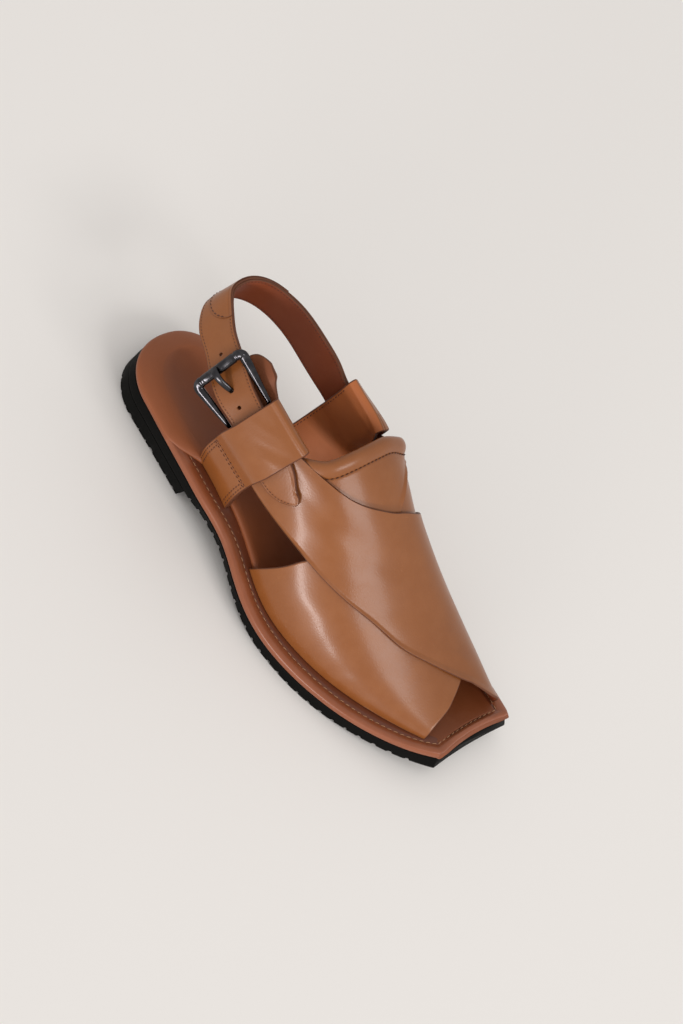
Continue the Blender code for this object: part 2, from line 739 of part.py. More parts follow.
def build_buckle_frame(collection, finish):
    """The buckle frame: base bar under the strap, tapered legs beside it and a thick outer bar over it."""
    half = BUCKLE_WIDTH / 2
    foot = BUCKLE_BASE_WIDTH / 2
    corners = (
        (BASE_BAR_RUN, 0.0, BASE_BAR_DEPTH),
        (BASE_BAR_RUN, foot, BASE_BAR_DEPTH),
        (OUTER_BAR_RUN + OUTER_BAR_SKEW[0], half + BUCKLE_SIDE, OUTER_BAR_DEPTH),
        (OUTER_BAR_RUN + OUTER_BAR_SKEW[1], -half + BUCKLE_SIDE, OUTER_BAR_DEPTH),
        (BASE_BAR_RUN, -foot, BASE_BAR_DEPTH),
        (BASE_BAR_RUN, 0.0, BASE_BAR_DEPTH),
    )
    path = rounded(corners, BUCKLE_CORNER)
    points = [strap_point(*spot) for spot in path]
    radii = []
    for _, _, depth in path:
        share = (depth - BASE_BAR_DEPTH) / (OUTER_BAR_DEPTH - BASE_BAR_DEPTH)
        radius = LEG_END_RADIUS + (LEG_RADIUS - LEG_END_RADIUS) * share
        if share < 0.01:
            radius = BASE_BAR_RADIUS
        elif share > 0.99:
            radius = OUTER_BAR_RADIUS
        radii.append(radius)
    frame = tube("buckle_frame", points, radii, collection, finish)
    frame.data.splines[0].use_cyclic_u = True
    return frame


def build_buckle_prong(collection, finish):
    """The prong: wrapped round the base bar, up through the strap's hole and over the outer bar."""
    wrap = BASE_BAR_RADIUS + GAP + PRONG_RADIUS
    path = [bar_circle(0.15 + 0.7 * k / 10, wrap, BASE_BAR_RUN, BASE_BAR_DEPTH) for k in range(11)]
    rest = OUTER_BAR_DEPTH - OUTER_BAR_RADIUS - GAP - 1.5
    path += [
        (PRONG_HOLE_RUN - 2.6, 0.0, STRAP_THICKNESS + PRONG_RADIUS + 0.9),
        (PRONG_HOLE_RUN - 0.6, -0.4, STRAP_THICKNESS + 0.4),
        (PRONG_HOLE_RUN + 0.5, -0.8, -0.4),
        (PRONG_HOLE_RUN + 3.0, -1.4, -3.6),
        (OUTER_BAR_RUN - 4.5, -2.2, rest + 1.2),
        (OUTER_BAR_RUN, -2.8, rest),
        (OUTER_BAR_RUN + 2.0, -3.0, rest + 0.6),
    ]
    radii = [PRONG_RADIUS] * (len(path) - len(PRONG_REST_RADII)) + list(PRONG_REST_RADII)
    points = [strap_point(*spot) for spot in path]
    return tube("buckle_prong", points, radii, collection, finish)


def build_buckle_shield(collection, finish):
    """The leather piece between the buckle and the foot, from inside the outer loop to a round end."""
    rows = by_row(SHIELD_TABLE)

    def place(u, v):
        row = u * (len(SHIELD_TABLE) - 1)
        side = spline(rows, 3, row) + (2 * v - 1) * spline(rows, 4, row)
        run = spline(rows, 1, row) - SHIELD_ROUND * u**3 * np.abs(2 * v - 1) ** 4
        return strap_point(run, side, spline(rows, 2, row))

    return sheet("buckle_shield", place, 16, 10, SHIELD_THICKNESS, collection, finish)


def clear_scene():
    for thing in list(bpy.data.objects):
        bpy.data.objects.remove(thing, do_unlink=True)


def main():
    clear_scene()
    scene = bpy.context.scene
    parts = bpy.data.collections.new("peshawari_chappal")
    cutters = bpy.data.collections.new("cutters")
    scene.collection.children.link(parts)
    scene.collection.children.link(cutters)
    rubber = material("black rubber", (0.012, 0.012, 0.011), 0.75)
    wrap = material("wrapped edge leather", (0.26, 0.09, 0.04), 0.5)
    lining = material("insole leather", (0.17, 0.055, 0.022), 0.55)
    tan = material("tan leather", (0.36, 0.125, 0.035), 0.38)
    gunmetal = material("gunmetal", (0.06, 0.06, 0.065), 0.25, 1.0)
    build_outsole(parts, rubber)
    build_heel(parts, rubber)
    build_midsole(parts, wrap)
    build_insole(parts, lining)
    build_upper(parts, cutters, tan)
    for name in LOOP_TABLE:
        build_loop(name, parts, tan)
    build_strap(parts, cutters, tan)
    build_buckle_frame(parts, gunmetal)
    build_buckle_prong(parts, gunmetal)
    build_buckle_shield(parts, lining)


main()
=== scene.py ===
import math

import bmesh
import bpy
import numpy as np
from mathutils import Matrix, Vector


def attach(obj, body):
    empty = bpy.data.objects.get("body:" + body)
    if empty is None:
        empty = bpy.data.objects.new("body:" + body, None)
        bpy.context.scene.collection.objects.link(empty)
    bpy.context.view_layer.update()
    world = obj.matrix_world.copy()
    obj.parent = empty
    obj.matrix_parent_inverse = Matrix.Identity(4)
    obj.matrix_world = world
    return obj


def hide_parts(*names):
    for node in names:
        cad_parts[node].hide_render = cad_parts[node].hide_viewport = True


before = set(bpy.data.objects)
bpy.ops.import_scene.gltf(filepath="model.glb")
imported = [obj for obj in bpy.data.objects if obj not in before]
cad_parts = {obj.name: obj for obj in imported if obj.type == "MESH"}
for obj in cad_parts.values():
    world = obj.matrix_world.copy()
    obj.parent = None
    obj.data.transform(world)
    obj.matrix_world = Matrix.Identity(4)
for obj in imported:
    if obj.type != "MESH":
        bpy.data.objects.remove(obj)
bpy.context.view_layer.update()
mm = 0.001
print("frame loaded:", len(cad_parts), "nodes")

# The shoe's own sizes, as the solids have them. A place is a station along the shoe, an across measure
# in a plane that leans with the heel and toe, and a height, all in millimetres.
shoe = {
    "lean": 0.186,
    "spread": 0.983,
    "middleX": 145.26,
    "middleY": -9.32,
    "heelRound": 33.0,
    "insoleHeelRound": 30.0,
    "heelSquareness": 2.2,
    "heelRearAcross": 6.2,
    "toeStation": 282.0,
    "toeHollow": 2.4,
    "toeHollowStart": 240.0,
    "toeFlare": 0.4,
    "toeCorner": 1.2,  # how far the inner toe corner is rounded off, and along which length
    "toeCornerReach": 3.4,
    "toeCornerFlare": 0.38,  # how far the inner toe corner widens for each mm down
    "outsole": 7.3,
    "midsole": 4.8,
    "gap": 0.3,
    "outerWall": 38.0,
}

# station, outer edge, inner edge, height of the outsole's top
soleTable = (
    (33, -31.7, 31.7, 18.0),
    (56, -37.2, 28.6, 18.0),
    (79, -42.4, 26.4, 18.0),
    (92, -45.2, 26.2, 17.8),
    (105, -46.8, 26.9, 16.9),
    (121, -49.5, 29.5, 14.5),
    (137, -55.2, 34.0, 12.0),
    (154, -61.0, 39.0, 9.6),
    (173, -64.4, 42.8, 7.7),
    (194, -64.2, 45.2, 6.9),
    (218, -60.2, 45.6, 7.3),
    (238, -54.4, 43.2, 9.0),
    (258, -45.4, 38.2, 11.8),
    (273, -36.0, 33.2, 15.0),
    (282, -28.4, 29.6, 17.4),
)

# station, outer edge, inner edge
insoleTable = (
    (33, -28.7, 28.7),
    (50, -29.6, 26.0),
    (66, -28.6, 21.6),
    (90, -31.0, 20.6),
    (118, -37.0, 22.0),
    (140, -44.6, 26.4),
    (158, -50.2, 29.6),
    (187, -51.8, 33.0),
    (212, -47.8, 34.0),
    (237, -39.8, 32.4),
    (258, -30.4, 28.6),
    (269, -24.6, 25.4),
    (277, -23.0, 23.6),
)

# station, base outer, base inner, widest outer, widest inner, crown across, crown height,
# fullness outer, fullness inner, height over which the inner wall leans out
lastTable = (
    (66, -29.5, 24.0, -31.5, 42.0, 8, 108.0, 2.10, 5.0, 110),
    (90, -32.0, 23.6, -35.5, 40.5, 8, 104.0, 2.20, 4.0, 105),
    (118, -38.0, 25.0, -40.0, 41.8, 6, 96.0, 2.35, 3.0, 58),
    (140, -46.0, 29.4, -46.5, 41.0, 7, 86.3, 2.20, 2.8, 38),
    (158, -51.5, 32.6, -51.5, 37.4, 8, 76.5, 2.10, 2.6, 38),
    (187, -53.0, 35.4, -53.0, 37.2, 8, 60.5, 2.10, 2.5, 38),
    (212, -49.0, 36.2, -49.0, 37.4, 8, 48.5, 2.10, 2.4, 38),
    (237, -41.0, 34.4, -41.0, 34.6, 9, 38.5, 2.10, 2.3, 38),
    (267, -27.5, 26.0, -27.5, 26.0, 10, 30.5, 2.10, 2.2, 38),
    (282, -20.0, 20.5, -20.0, 20.5, 10, 28.0, 2.10, 2.2, 38),
)


def spline(table, column, station):
    xs = np.array([row[0] for row in table], float)
    ys = np.array([row[column] for row in table], float)
    station = np.asarray(station, float)
    count = len(xs)
    step = np.diff(xs)
    matrix = np.eye(count)
    right = np.zeros(count)
    for i in range(1, count - 1):
        matrix[i, i - 1] = step[i - 1]
        matrix[i, i] = 2 * (step[i - 1] + step[i])
        matrix[i, i + 1] = step[i]
        right[i] = 6 * ((ys[i + 1] - ys[i]) / step[i] - (ys[i] - ys[i - 1]) / step[i - 1])
    bend = np.linalg.solve(matrix, right)
    k = np.clip(np.searchsorted(xs, station) - 1, 0, count - 2)
    a = (xs[k + 1] - station) / step[k]
    b = (station - xs[k]) / step[k]
    cubic = (a**3 - a) * bend[k] + (b**3 - b) * bend[k + 1]
    return a * ys[k] + b * ys[k + 1] + cubic * step[k] ** 2 / 6


def columnsAt(table, row):  # each column of a table, at whole rows and between them
    numbered = tuple((i, *values) for i, values in enumerate(table))
    return [spline(numbered, k, row) for k in range(1, len(numbered[0]))]


def smooth(low, high, value):
    share = np.clip((value - low) / (high - low), 0, 1)
    return share * share * (3 - 2 * share)


def unit(vectors):
    return vectors / np.maximum(np.linalg.norm(vectors, axis=-1, keepdims=True), 1e-12)


def place(station, across, height):
    station, across, height = np.broadcast_arrays(station, across, height)
    x = station + shoe["lean"] * across - shoe["middleX"]
    y = shoe["spread"] * across - shoe["middleY"]
    return np.stack([x, y, height], -1) * mm


def seatHeight(station):
    return spline(soleTable, 3, np.maximum(station, shoe["heelRound"]))


def lastSection(station, girth):
    station = np.asarray(station, float)
    columns = [spline(lastTable, i, station) for i in range(1, 10)]
    baseOut, baseIn, wideOut, wideIn, crown, crownHeight, fullOut, fullIn, innerWall = columns
    baseHeight = seatHeight(station) + shoe["midsole"] + shoe["gap"]
    angle = np.clip(girth, 0, 1) * math.pi
    outer = np.cos(angle) >= 0
    full = np.where(outer, fullOut, fullIn)
    rise = np.clip(np.sin(angle), 0, 1) ** (2 / full)
    height = baseHeight + (crownHeight - baseHeight) * rise
    wide = np.where(outer, wideOut, wideIn)
    base = np.where(outer, baseOut, baseIn)
    across = crown + (wide - crown) * np.abs(np.cos(angle)) ** (2 / full)
    wall = np.where(outer, shoe["outerWall"], innerWall)
    tuck = np.clip(1 - (height - baseHeight) / wall, 0, 1) ** 2
    return across + (base - wide) * tuck, height


def lastPoint(station, girth, lift=0.0):  # on the last, raised along its outward normal
    small = 0.004
    station, girth, lift = np.broadcast_arrays(station, girth, lift)
    point = place(station, *lastSection(station, girth))
    after = place(station, *lastSection(station, np.clip(girth + small, 0, 1)))
    before = place(station, *lastSection(station, np.clip(girth - small, 0, 1)))
    ahead = place(station + 1, *lastSection(station + 1, girth))
    behind = place(station - 1, *lastSection(station - 1, girth))
    return point + unit(np.cross(ahead - behind, after - before)) * lift[..., None] * mm


def girthAt(station, height, inner):
    baseHeight = seatHeight(station) + shoe["midsole"] + shoe["gap"]
    crownHeight = spline(lastTable, 6, station)
    full = spline(lastTable, 8 if inner else 7, station)
    rise = np.clip((height - baseHeight) / (crownHeight - baseHeight), 0, 1)
    share = np.arcsin(rise ** (full / 2)) / math.pi
    return 1 - share if inner else share


def feed(tree, socket, value):  # another socket is linked to it, and anything else becomes its value
    if isinstance(value, bpy.types.NodeSocket):
        tree.links.new(value, socket)
    else:
        socket.default_value = value


def addNode(tree, kind, values=None, **settings):
    node = tree.nodes.new(kind)
    for key, value in settings.items():
        setattr(node, key, value)
    for key, value in (values or {}).items():
        feed(tree, node.inputs[key], value)
    return node


def calc(tree, operation, first, second, clamp=False):
    node = addNode(tree, "ShaderNodeMath", {0: first, 1: second}, operation=operation, use_clamp=clamp)
    return node.outputs[0]


def ramp(tree, value, low, high, toLow=0.0, toHigh=1.0):
    values = {0: value, 1: low, 2: high, 3: toLow, 4: toHigh}
    return addNode(tree, "ShaderNodeMapRange", values, interpolation_type="SMOOTHSTEP").outputs[0]


def mixColour(tree, factor, first, second):
    values = {0: factor, 6: first, 7: second}
    return addNode(tree, "ShaderNodeMix", values, data_type="RGBA", clamp_factor=True).outputs[2]


def noise(tree, vector, scale, detail=3.0, roughness=0.5):
    values = {"Vector": vector, "Scale": scale, "Detail": detail, "Roughness": roughness}
    return addNode(tree, "ShaderNodeTexNoise", values).outputs["Fac"]


def bumped(tree, height, strength, distance=0.0001):
    values = {"Height": height, "Strength": strength, "Distance": distance}
    return addNode(tree, "ShaderNodeBump", values).outputs["Normal"]


def newGroup(name, inputs, outputs):  # an input without a value is a vector, any other a colour or a number
    group = bpy.data.node_groups.new(name, "ShaderNodeTree")
    for label, value in inputs.items():
        kind = {type(None): "Vector", tuple: "Color"}.get(type(value), "Float")
        socket = group.interface.new_socket(label, in_out="INPUT", socket_type="NodeSocket" + kind)
        if value is not None:
            socket.default_value = value
    for label in outputs:
        kind = "Color" if label == "Colour" else "Float"
        group.interface.new_socket(label, in_out="OUTPUT", socket_type="NodeSocket" + kind)
    return group, group.nodes.new("NodeGroupInput").outputs, group.nodes.new("NodeGroupOutput").inputs


def makeGrainGroup():  # pebbled leather grain, with pores and fine wrinkles, as a height and a mask
    inputs = {"Vector": None, "Pebble Size": 0.8, "Pore Depth": 0.4, "Wrinkle": 0.4}
    group, given, result = newGroup("leatherGrain", inputs, ("Height", "Mask"))
    vector = given["Vector"]
    warp = addNode(group, "ShaderNodeTexNoise", {"Vector": vector, "Scale": 260.0, "Detail": 2.0})
    warping = {0: warp.outputs["Color"], 1: (0.0012, 0.0012, 0.0012), 2: vector}
    shifted = addNode(group, "ShaderNodeVectorMath", warping, operation="MULTIPLY_ADD").outputs[0]
    perMetre = calc(group, "DIVIDE", 1000.0, given["Pebble Size"])
    packing = {"Vector": shifted, "Scale": perMetre, "Smoothness": 0.5}
    cells = addNode(group, "ShaderNodeTexVoronoi", packing, feature="SMOOTH_F1")
    pebbles = calc(group, "SUBTRACT", 1.0, cells.outputs["Distance"])
    pores = addNode(group, "ShaderNodeTexVoronoi", {"Vector": shifted, "Scale": 620.0})
    dots = ramp(group, pores.outputs["Distance"], 0.06, 0.22, 1.0, 0.0)
    wrinkles = noise(group, vector, 130.0, 4.0, 0.62)
    pitted = calc(group, "MULTIPLY", dots, given["Pore Depth"])
    height = calc(group, "SUBTRACT", calc(group, "MULTIPLY", pebbles, 0.5), pitted)
    height = calc(group, "ADD", height, calc(group, "MULTIPLY", wrinkles, given["Wrinkle"]))
    feed(group, result["Height"], height)
    feed(group, result["Mask"], calc(group, "MULTIPLY", dots, wrinkles))
    return group


def makeToneGroup():  # broad and fine colour change over a hide
    inputs = {
        "Vector": None,
        "Colour": (0.3, 0.1, 0.03, 1),
        "Deep": (0.2, 0.06, 0.02, 1),
        "Pale": (0.4, 0.2, 0.1, 1),
        "Amount": 0.5,
    }
    group, given, result = newGroup("hideTone", inputs, ("Colour", "Mask"))
    broad = ramp(group, noise(group, given["Vector"], 22.0, 2.0), 0.36, 0.66)
    fine = ramp(group, noise(group, given["Vector"], 95.0, 5.0, 0.6), 0.38, 0.7)
    lowered = calc(group, "MULTIPLY", broad, given["Amount"])
    raised = calc(group, "MULTIPLY", fine, calc(group, "MULTIPLY", given["Amount"], 0.55))
    colour = mixColour(group, lowered, given["Colour"], given["Deep"])
    feed(group, result["Colour"], mixColour(group, raised, colour, given["Pale"]))
    feed(group, result["Mask"], fine)
    return group


def makeWearGroup():  # distances to the cut edge and to the stitches, as burnish, rub and pull-down
    inputs = {"Vector": None, "Map": None, "Burnish Width": 1.6, "Seam Width": 0.9}
    group, given, result = newGroup("edgeWear", inputs, ("Burnish", "Rub", "Seam"))
    split = addNode(group, "ShaderNodeSeparateXYZ", {0: given["Map"]}).outputs
    edge = calc(group, "MULTIPLY", split["X"], wearScale)
    seam = calc(group, "MULTIPLY", split["Y"], wearScale)
    ragged = calc(group, "MULTIPLY", noise(group, given["Vector"], 210.0, 4.0), 1.4)
    reach = calc(group, "MULTIPLY", given["Burnish Width"], ragged)
    feed(group, result["Burnish"], ramp(group, edge, 0.0, reach, 1.0, 0.0))
    feed(group, result["Rub"], calc(group, "MULTIPLY", ramp(group, edge, 0.15, 0.75, 1.0, 0.0), ragged))
    feed(group, result["Seam"], ramp(group, seam, 0.0, given["Seam Width"], 1.0, 0.0))
    return group


def makeScuffGroup():  # a few short rubs and dust-fine scratches
    group, given, result = newGroup("scuffs", {"Vector": None, "Amount": 0.3}, ("Mask",))
    stretch = {"Vector": given["Vector"], "Scale": (0.22, 1.0, 1.0), "Rotation": (0.4, 0.5, 0.7)}
    stretched = addNode(group, "ShaderNodeMapping", stretch).outputs[0]
    lines = ramp(group, noise(group, stretched, 900.0, 2.0), 0.66, 0.74)
    where = ramp(group, noise(group, given["Vector"], 40.0, 2.0), 0.52, 0.66)
    marks = calc(group, "MULTIPLY", lines, where)
    feed(group, result["Mask"], calc(group, "MULTIPLY", marks, given["Amount"]))
    return group


wearScale = 100.0  # mm for one unit of the wear map
grainGroup = makeGrainGroup()
toneGroup = makeToneGroup()
wearGroup = makeWearGroup()
scuffGroup = makeScuffGroup()
print("shader groups made")


def startMaterial(name):
    made = bpy.data.materials.new(name)
    made.use_nodes = True
    return made, made.node_tree, addNode(made.node_tree, "ShaderNodeTexCoord").outputs["Object"]


def finishMaterial(made, values):
    tree = made.node_tree
    for key, value in values.items():
        feed(tree, tree.nodes["Principled BSDF"].inputs[key], value)
    return made


def addGroup(tree, group, values):
    return addNode(tree, "ShaderNodeGroup", values, node_tree=group).outputs


def leather(name, look):
    made, tree, vector = startMaterial(name)
    plain, deep, pale = [(*look[key], 1) for key in ("colour", "deep", "pale")]
    grainInputs = {"Pebble Size": look["pebble"], "Pore Depth": look["pore"], "Wrinkle": look["wrinkle"]}
    toneInputs = {"Colour": plain, "Deep": deep, "Pale": pale, "Amount": look["variation"]}
    grain = addGroup(tree, grainGroup, {"Vector": vector, **grainInputs})
    tone = addGroup(tree, toneGroup, {"Vector": vector, **toneInputs})
    scuff = addGroup(tree, scuffGroup, {"Vector": vector, "Amount": look["scuff"]})["Mask"]
    spots = addNode(tree, "ShaderNodeUVMap", uv_map="wear").outputs["UV"]
    colour = tone["Colour"]
    height = grain["Height"]
    # painted shading: where a look has a painted shading colour, the map's first value mixes it in, as
    # painted light on the footbed's rim and painted shade on the margin
    if "paintedShadingColour" in look:
        share = addNode(tree, "ShaderNodeSeparateXYZ", {0: spots}).outputs["X"]
        ragged = calc(tree, "MULTIPLY", noise(tree, vector, 300.0, 3.0), look["ragged"])
        share = calc(tree, "SUBTRACT", calc(tree, "ADD", share, ragged), look["ragged"] / 2, clamp=True)
        colour = mixColour(tree, share, colour, (*look["paintedShadingColour"], 1))
    else:
        wearInputs = {"Vector": vector, "Map": spots, "Burnish Width": look["burnishWidth"]}
        wear = addGroup(tree, wearGroup, wearInputs)
        colour = mixColour(tree, calc(tree, "MULTIPLY", wear["Burnish"], look["burnish"]), colour, deep)
        colour = mixColour(tree, calc(tree, "MULTIPLY", wear["Rub"], look["rub"], clamp=True), colour, pale)
        colour = mixColour(tree, calc(tree, "MULTIPLY", wear["Seam"], look["seamDark"]), colour, deep)
        height = calc(tree, "SUBTRACT", height, calc(tree, "MULTIPLY", wear["Seam"], look["seamDepth"]))
    colour = mixColour(tree, calc(tree, "MULTIPLY", grain["Mask"], look["poreDark"]), colour, deep)
    rough = calc(tree, "ADD", calc(tree, "MULTIPLY", tone["Mask"], look["roughChange"]), look["rough"])
    values = {
        "Base Color": mixColour(tree, scuff, colour, pale),
        "Roughness": calc(tree, "ADD", rough, calc(tree, "MULTIPLY", scuff, look["scuffRough"]), clamp=True),
        "Normal": bumped(tree, height, look["bump"], look["bumpDepth"]),
        "Coat Normal": bumped(tree, height, look["bump"] * look["coatBump"], look["bumpDepth"]),
        "Coat Weight": look["coat"],
        "Coat Roughness": look["coatRough"],
        "Specular IOR Level": look["specular"],
    }
    return finishMaterial(made, values)


tanLook = {
    "colour": (0.252, 0.08, 0.0175),
    "deep": (0.17, 0.048, 0.0105),
    "pale": (0.37, 0.145, 0.05),
    "variation": 0.2,
    "pebble": 0.85,
    "pore": 0.3,
    "wrinkle": 0.3,
    "scuff": 0.3,
    "burnishWidth": 1.3,
    "burnish": 0.5,
    "rub": 0.25,
    "rough": 0.36,
    "roughChange": 0.08,
    "bump": 0.5,
    "bumpDepth": 0.00012,
    "coat": 0.34,
    "coatRough": 0.2,
    "coatBump": 0.6,  # share of the bump that the coat follows
    "specular": 0.32,
    "ragged": 0.14,  # how uneven the border of the painted shading is
    "seamDark": 0.35,  # how much darker and how deep the leather is where stitches pull it down
    "seamDepth": 2.6,
    "poreDark": 0.5,
    "scuffRough": 0.3,
}
edgeLook = dict(
    tanLook,
    colour=(0.13, 0.04, 0.016),
    deep=(0.06, 0.016, 0.006),
    pale=(0.24, 0.09, 0.042),
    pebble=0.5,
    rough=0.5,
    coat=0.0,
    bump=0.6,
)
wrapLook = dict(
    tanLook,
    colour=(0.265, 0.076, 0.028),
    deep=(0.165, 0.042, 0.014),
    pale=(0.4, 0.16, 0.09),
    rough=0.4,
    # darker colour inside the margin's stitches: partly the footbed's darker leather, partly painted shade
    # along the insole's edge
    paintedShadingColour=(0.13, 0.032, 0.011),
    bump=0.3,
)
footbedLook = dict(
    tanLook,
    colour=(0.195, 0.052, 0.015),
    deep=(0.12, 0.028, 0.008),
    pale=(0.29, 0.1, 0.04),
    rough=0.46,
    roughChange=0.1,
    # paler colour of the heel cover's rim: partly the wrapped edge's own colour, partly painted light
    paintedShadingColour=(0.255, 0.074, 0.025),
    coat=0.03,
    bump=0.34,
)
liningLook = dict(
    tanLook,
    colour=(0.21, 0.046, 0.015),
    deep=(0.12, 0.025, 0.008),
    pale=(0.28, 0.1, 0.05),
    rough=0.5,
    coat=0.03,
    burnish=0.2,
    bump=0.4,
)

tan = leather("tanLeather", tanLook)
cutEdge = leather("cutEdge", edgeLook)
wrap = leather("wrappedEdge", wrapLook)
footbed = leather("footbedLeather", footbedLook)
lining = leather("liningLeather", liningLook)
# the inner loop's inside ply is the same tan leather, painted brighter: painted light
paintedLightLoopTan = leather("loopTanPaintedLight", dict(liningLook, colour=(0.42, 0.125, 0.036), deep=(0.27, 0.07, 0.018)))
shieldLeather = leather("shieldLeather", dict(liningLook, colour=(0.21, 0.066, 0.026), rub=0.35))
hide = [tan, lining, cutEdge]  # outer face, inner face and cut edge


def makeRubber():
    look = {"colour": (0.0025, 0.0025, 0.0022, 1), "worn": (0.006, 0.0058, 0.0052, 1), "rough": 0.55}
    made, tree, vector = startMaterial("blackRubber")
    broad = ramp(tree, noise(tree, vector, 60.0, 4.0), 0.45, 0.75)
    dust = ramp(tree, noise(tree, vector, 700.0, 3.0), 0.55, 0.75)
    colour = mixColour(tree, calc(tree, "MULTIPLY", broad, 0.5), look["colour"], look["worn"])
    values = {
        "Base Color": mixColour(tree, calc(tree, "MULTIPLY", dust, 0.25), colour, look["worn"]),
        "Roughness": calc(tree, "ADD", calc(tree, "MULTIPLY", broad, 0.15), look["rough"]),
        "Normal": bumped(tree, noise(tree, vector, 1500.0, 3.0), 0.4),
        "Specular IOR Level": 0.06,
    }
    return finishMaterial(made, values)


def makeGunmetal():
    look = {"colour": (0.042, 0.041, 0.045, 1), "bright": (0.24, 0.235, 0.245, 1), "rough": 0.15}
    made, tree, vector = startMaterial("gunmetal")
    scuff = addGroup(tree, scuffGroup, {"Vector": vector, "Amount": 0.25})["Mask"]
    haze = ramp(tree, noise(tree, vector, 180.0, 4.0), 0.4, 0.75)
    colour = mixColour(tree, calc(tree, "MULTIPLY", haze, 0.18), look["colour"], look["bright"])
    values = {
        "Base Color": mixColour(tree, scuff, colour, look["bright"]),
        "Roughness": calc(tree, "ADD", calc(tree, "MULTIPLY", haze, 0.12), look["rough"]),
        "Normal": bumped(tree, noise(tree, vector, 140.0, 2.0), 0.05, 0.00008),
        "Metallic": 1.0,
    }
    return finishMaterial(made, values)


def makeThread(name, colour, dark):
    made, tree, vector = startMaterial(name)
    winding = {"Vector": vector, "Scale": 1300.0, "Distortion": 1.5}
    twist = addNode(tree, "ShaderNodeTexWave", winding, bands_direction="DIAGONAL").outputs["Fac"]
    fibres = noise(tree, vector, 2500.0, 3.0)
    mixed = mixColour(tree, calc(tree, "MULTIPLY", twist, 0.45), (*colour, 1), (*dark, 1))
    values = {
        "Base Color": mixColour(tree, calc(tree, "MULTIPLY", fibres, 0.3), mixed, (*dark, 1)),
        "Normal": bumped(tree, twist, 0.5),
        "Roughness": 0.6,
    }
    return finishMaterial(made, values)


rubber = makeRubber()
gunmetal = makeGunmetal()
paleThread = makeThread("paleThread", (0.5, 0.26, 0.14), (0.3, 0.12, 0.05))
darkThread = makeThread("darkThread", (0.085, 0.021, 0.009), (0.035, 0.008, 0.004))
print("materials made")


def addMesh(name, points, faces, materials, indexes=None, wear=None):
    mesh = bpy.data.meshes.new(name)
    mesh.from_pydata(np.asarray(points, float).tolist(), [], faces)
    for one in materials:
        mesh.materials.append(one)
    if indexes is not None:
        mesh.polygons.foreach_set("material_index", np.asarray(indexes, np.int32))
    if wear is not None:
        layer = mesh.uv_layers.new(name="wear")
        corners = np.empty(len(mesh.loops), np.int32)
        mesh.loops.foreach_get("vertex_index", corners)
        layer.uv.foreach_set("vector", wear[corners].astype(np.float32).ravel())
    mesh.validate()
    mesh.shade_smooth()
    made = bpy.data.objects.new(name, mesh)
    bpy.context.scene.collection.objects.link(made)
    return made


def faceOutwards(made):
    shape = bmesh.new()
    shape.from_mesh(made.data)
    bmesh.ops.recalc_face_normals(shape, faces=shape.faces)
    shape.to_mesh(made.data)
    shape.free()
    return made


def finishPiece(made, slot, *nodes):
    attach(made, "root")
    if nodes:
        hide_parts(*nodes)
    return made


def arcs(grid, axis):  # distance along the grid lines, in mm
    steps = np.linalg.norm(np.diff(grid, axis=axis), axis=-1)
    start = np.zeros_like(np.take(steps, [0], axis))
    return np.concatenate([start, np.cumsum(steps, axis=axis)], axis) / mm


def fromEdges(grid):  # distances to the four edges of a grid, in mm: start, end, low and high
    along = arcs(grid, 0)
    across = arcs(grid, 1)
    return along, along[-1:] - along, across, across[:, -1:] - across


def gridFaces(rows, columns, start, turned):
    i, j = np.meshgrid(np.arange(rows - 1), np.arange(columns - 1), indexing="ij")
    corner = start + i * columns + j
    quads = np.stack([corner, corner + columns, corner + columns + 1, corner + 1], -1).reshape(-1, 4)
    return quads[:, ::-1] if turned else quads


def tubeFaces(count, sides, closed=False):  # quads between rings of points that follow each other
    i, j = np.meshgrid(np.arange(count if closed else count - 1), np.arange(sides), indexing="ij")
    after = (j + 1) % sides
    ahead = (i + 1) % count
    quads = np.stack([i * sides + j, i * sides + after, ahead * sides + after, ahead * sides + j], -1)
    return quads.reshape(-1, 4).tolist()


rimSteps = 4  # steps round a cut edge
rimDepth = 0.8  # how far a cut edge bulges, in half thicknesses
noSeam = 50.0  # a distance at which a seam leaves no mark


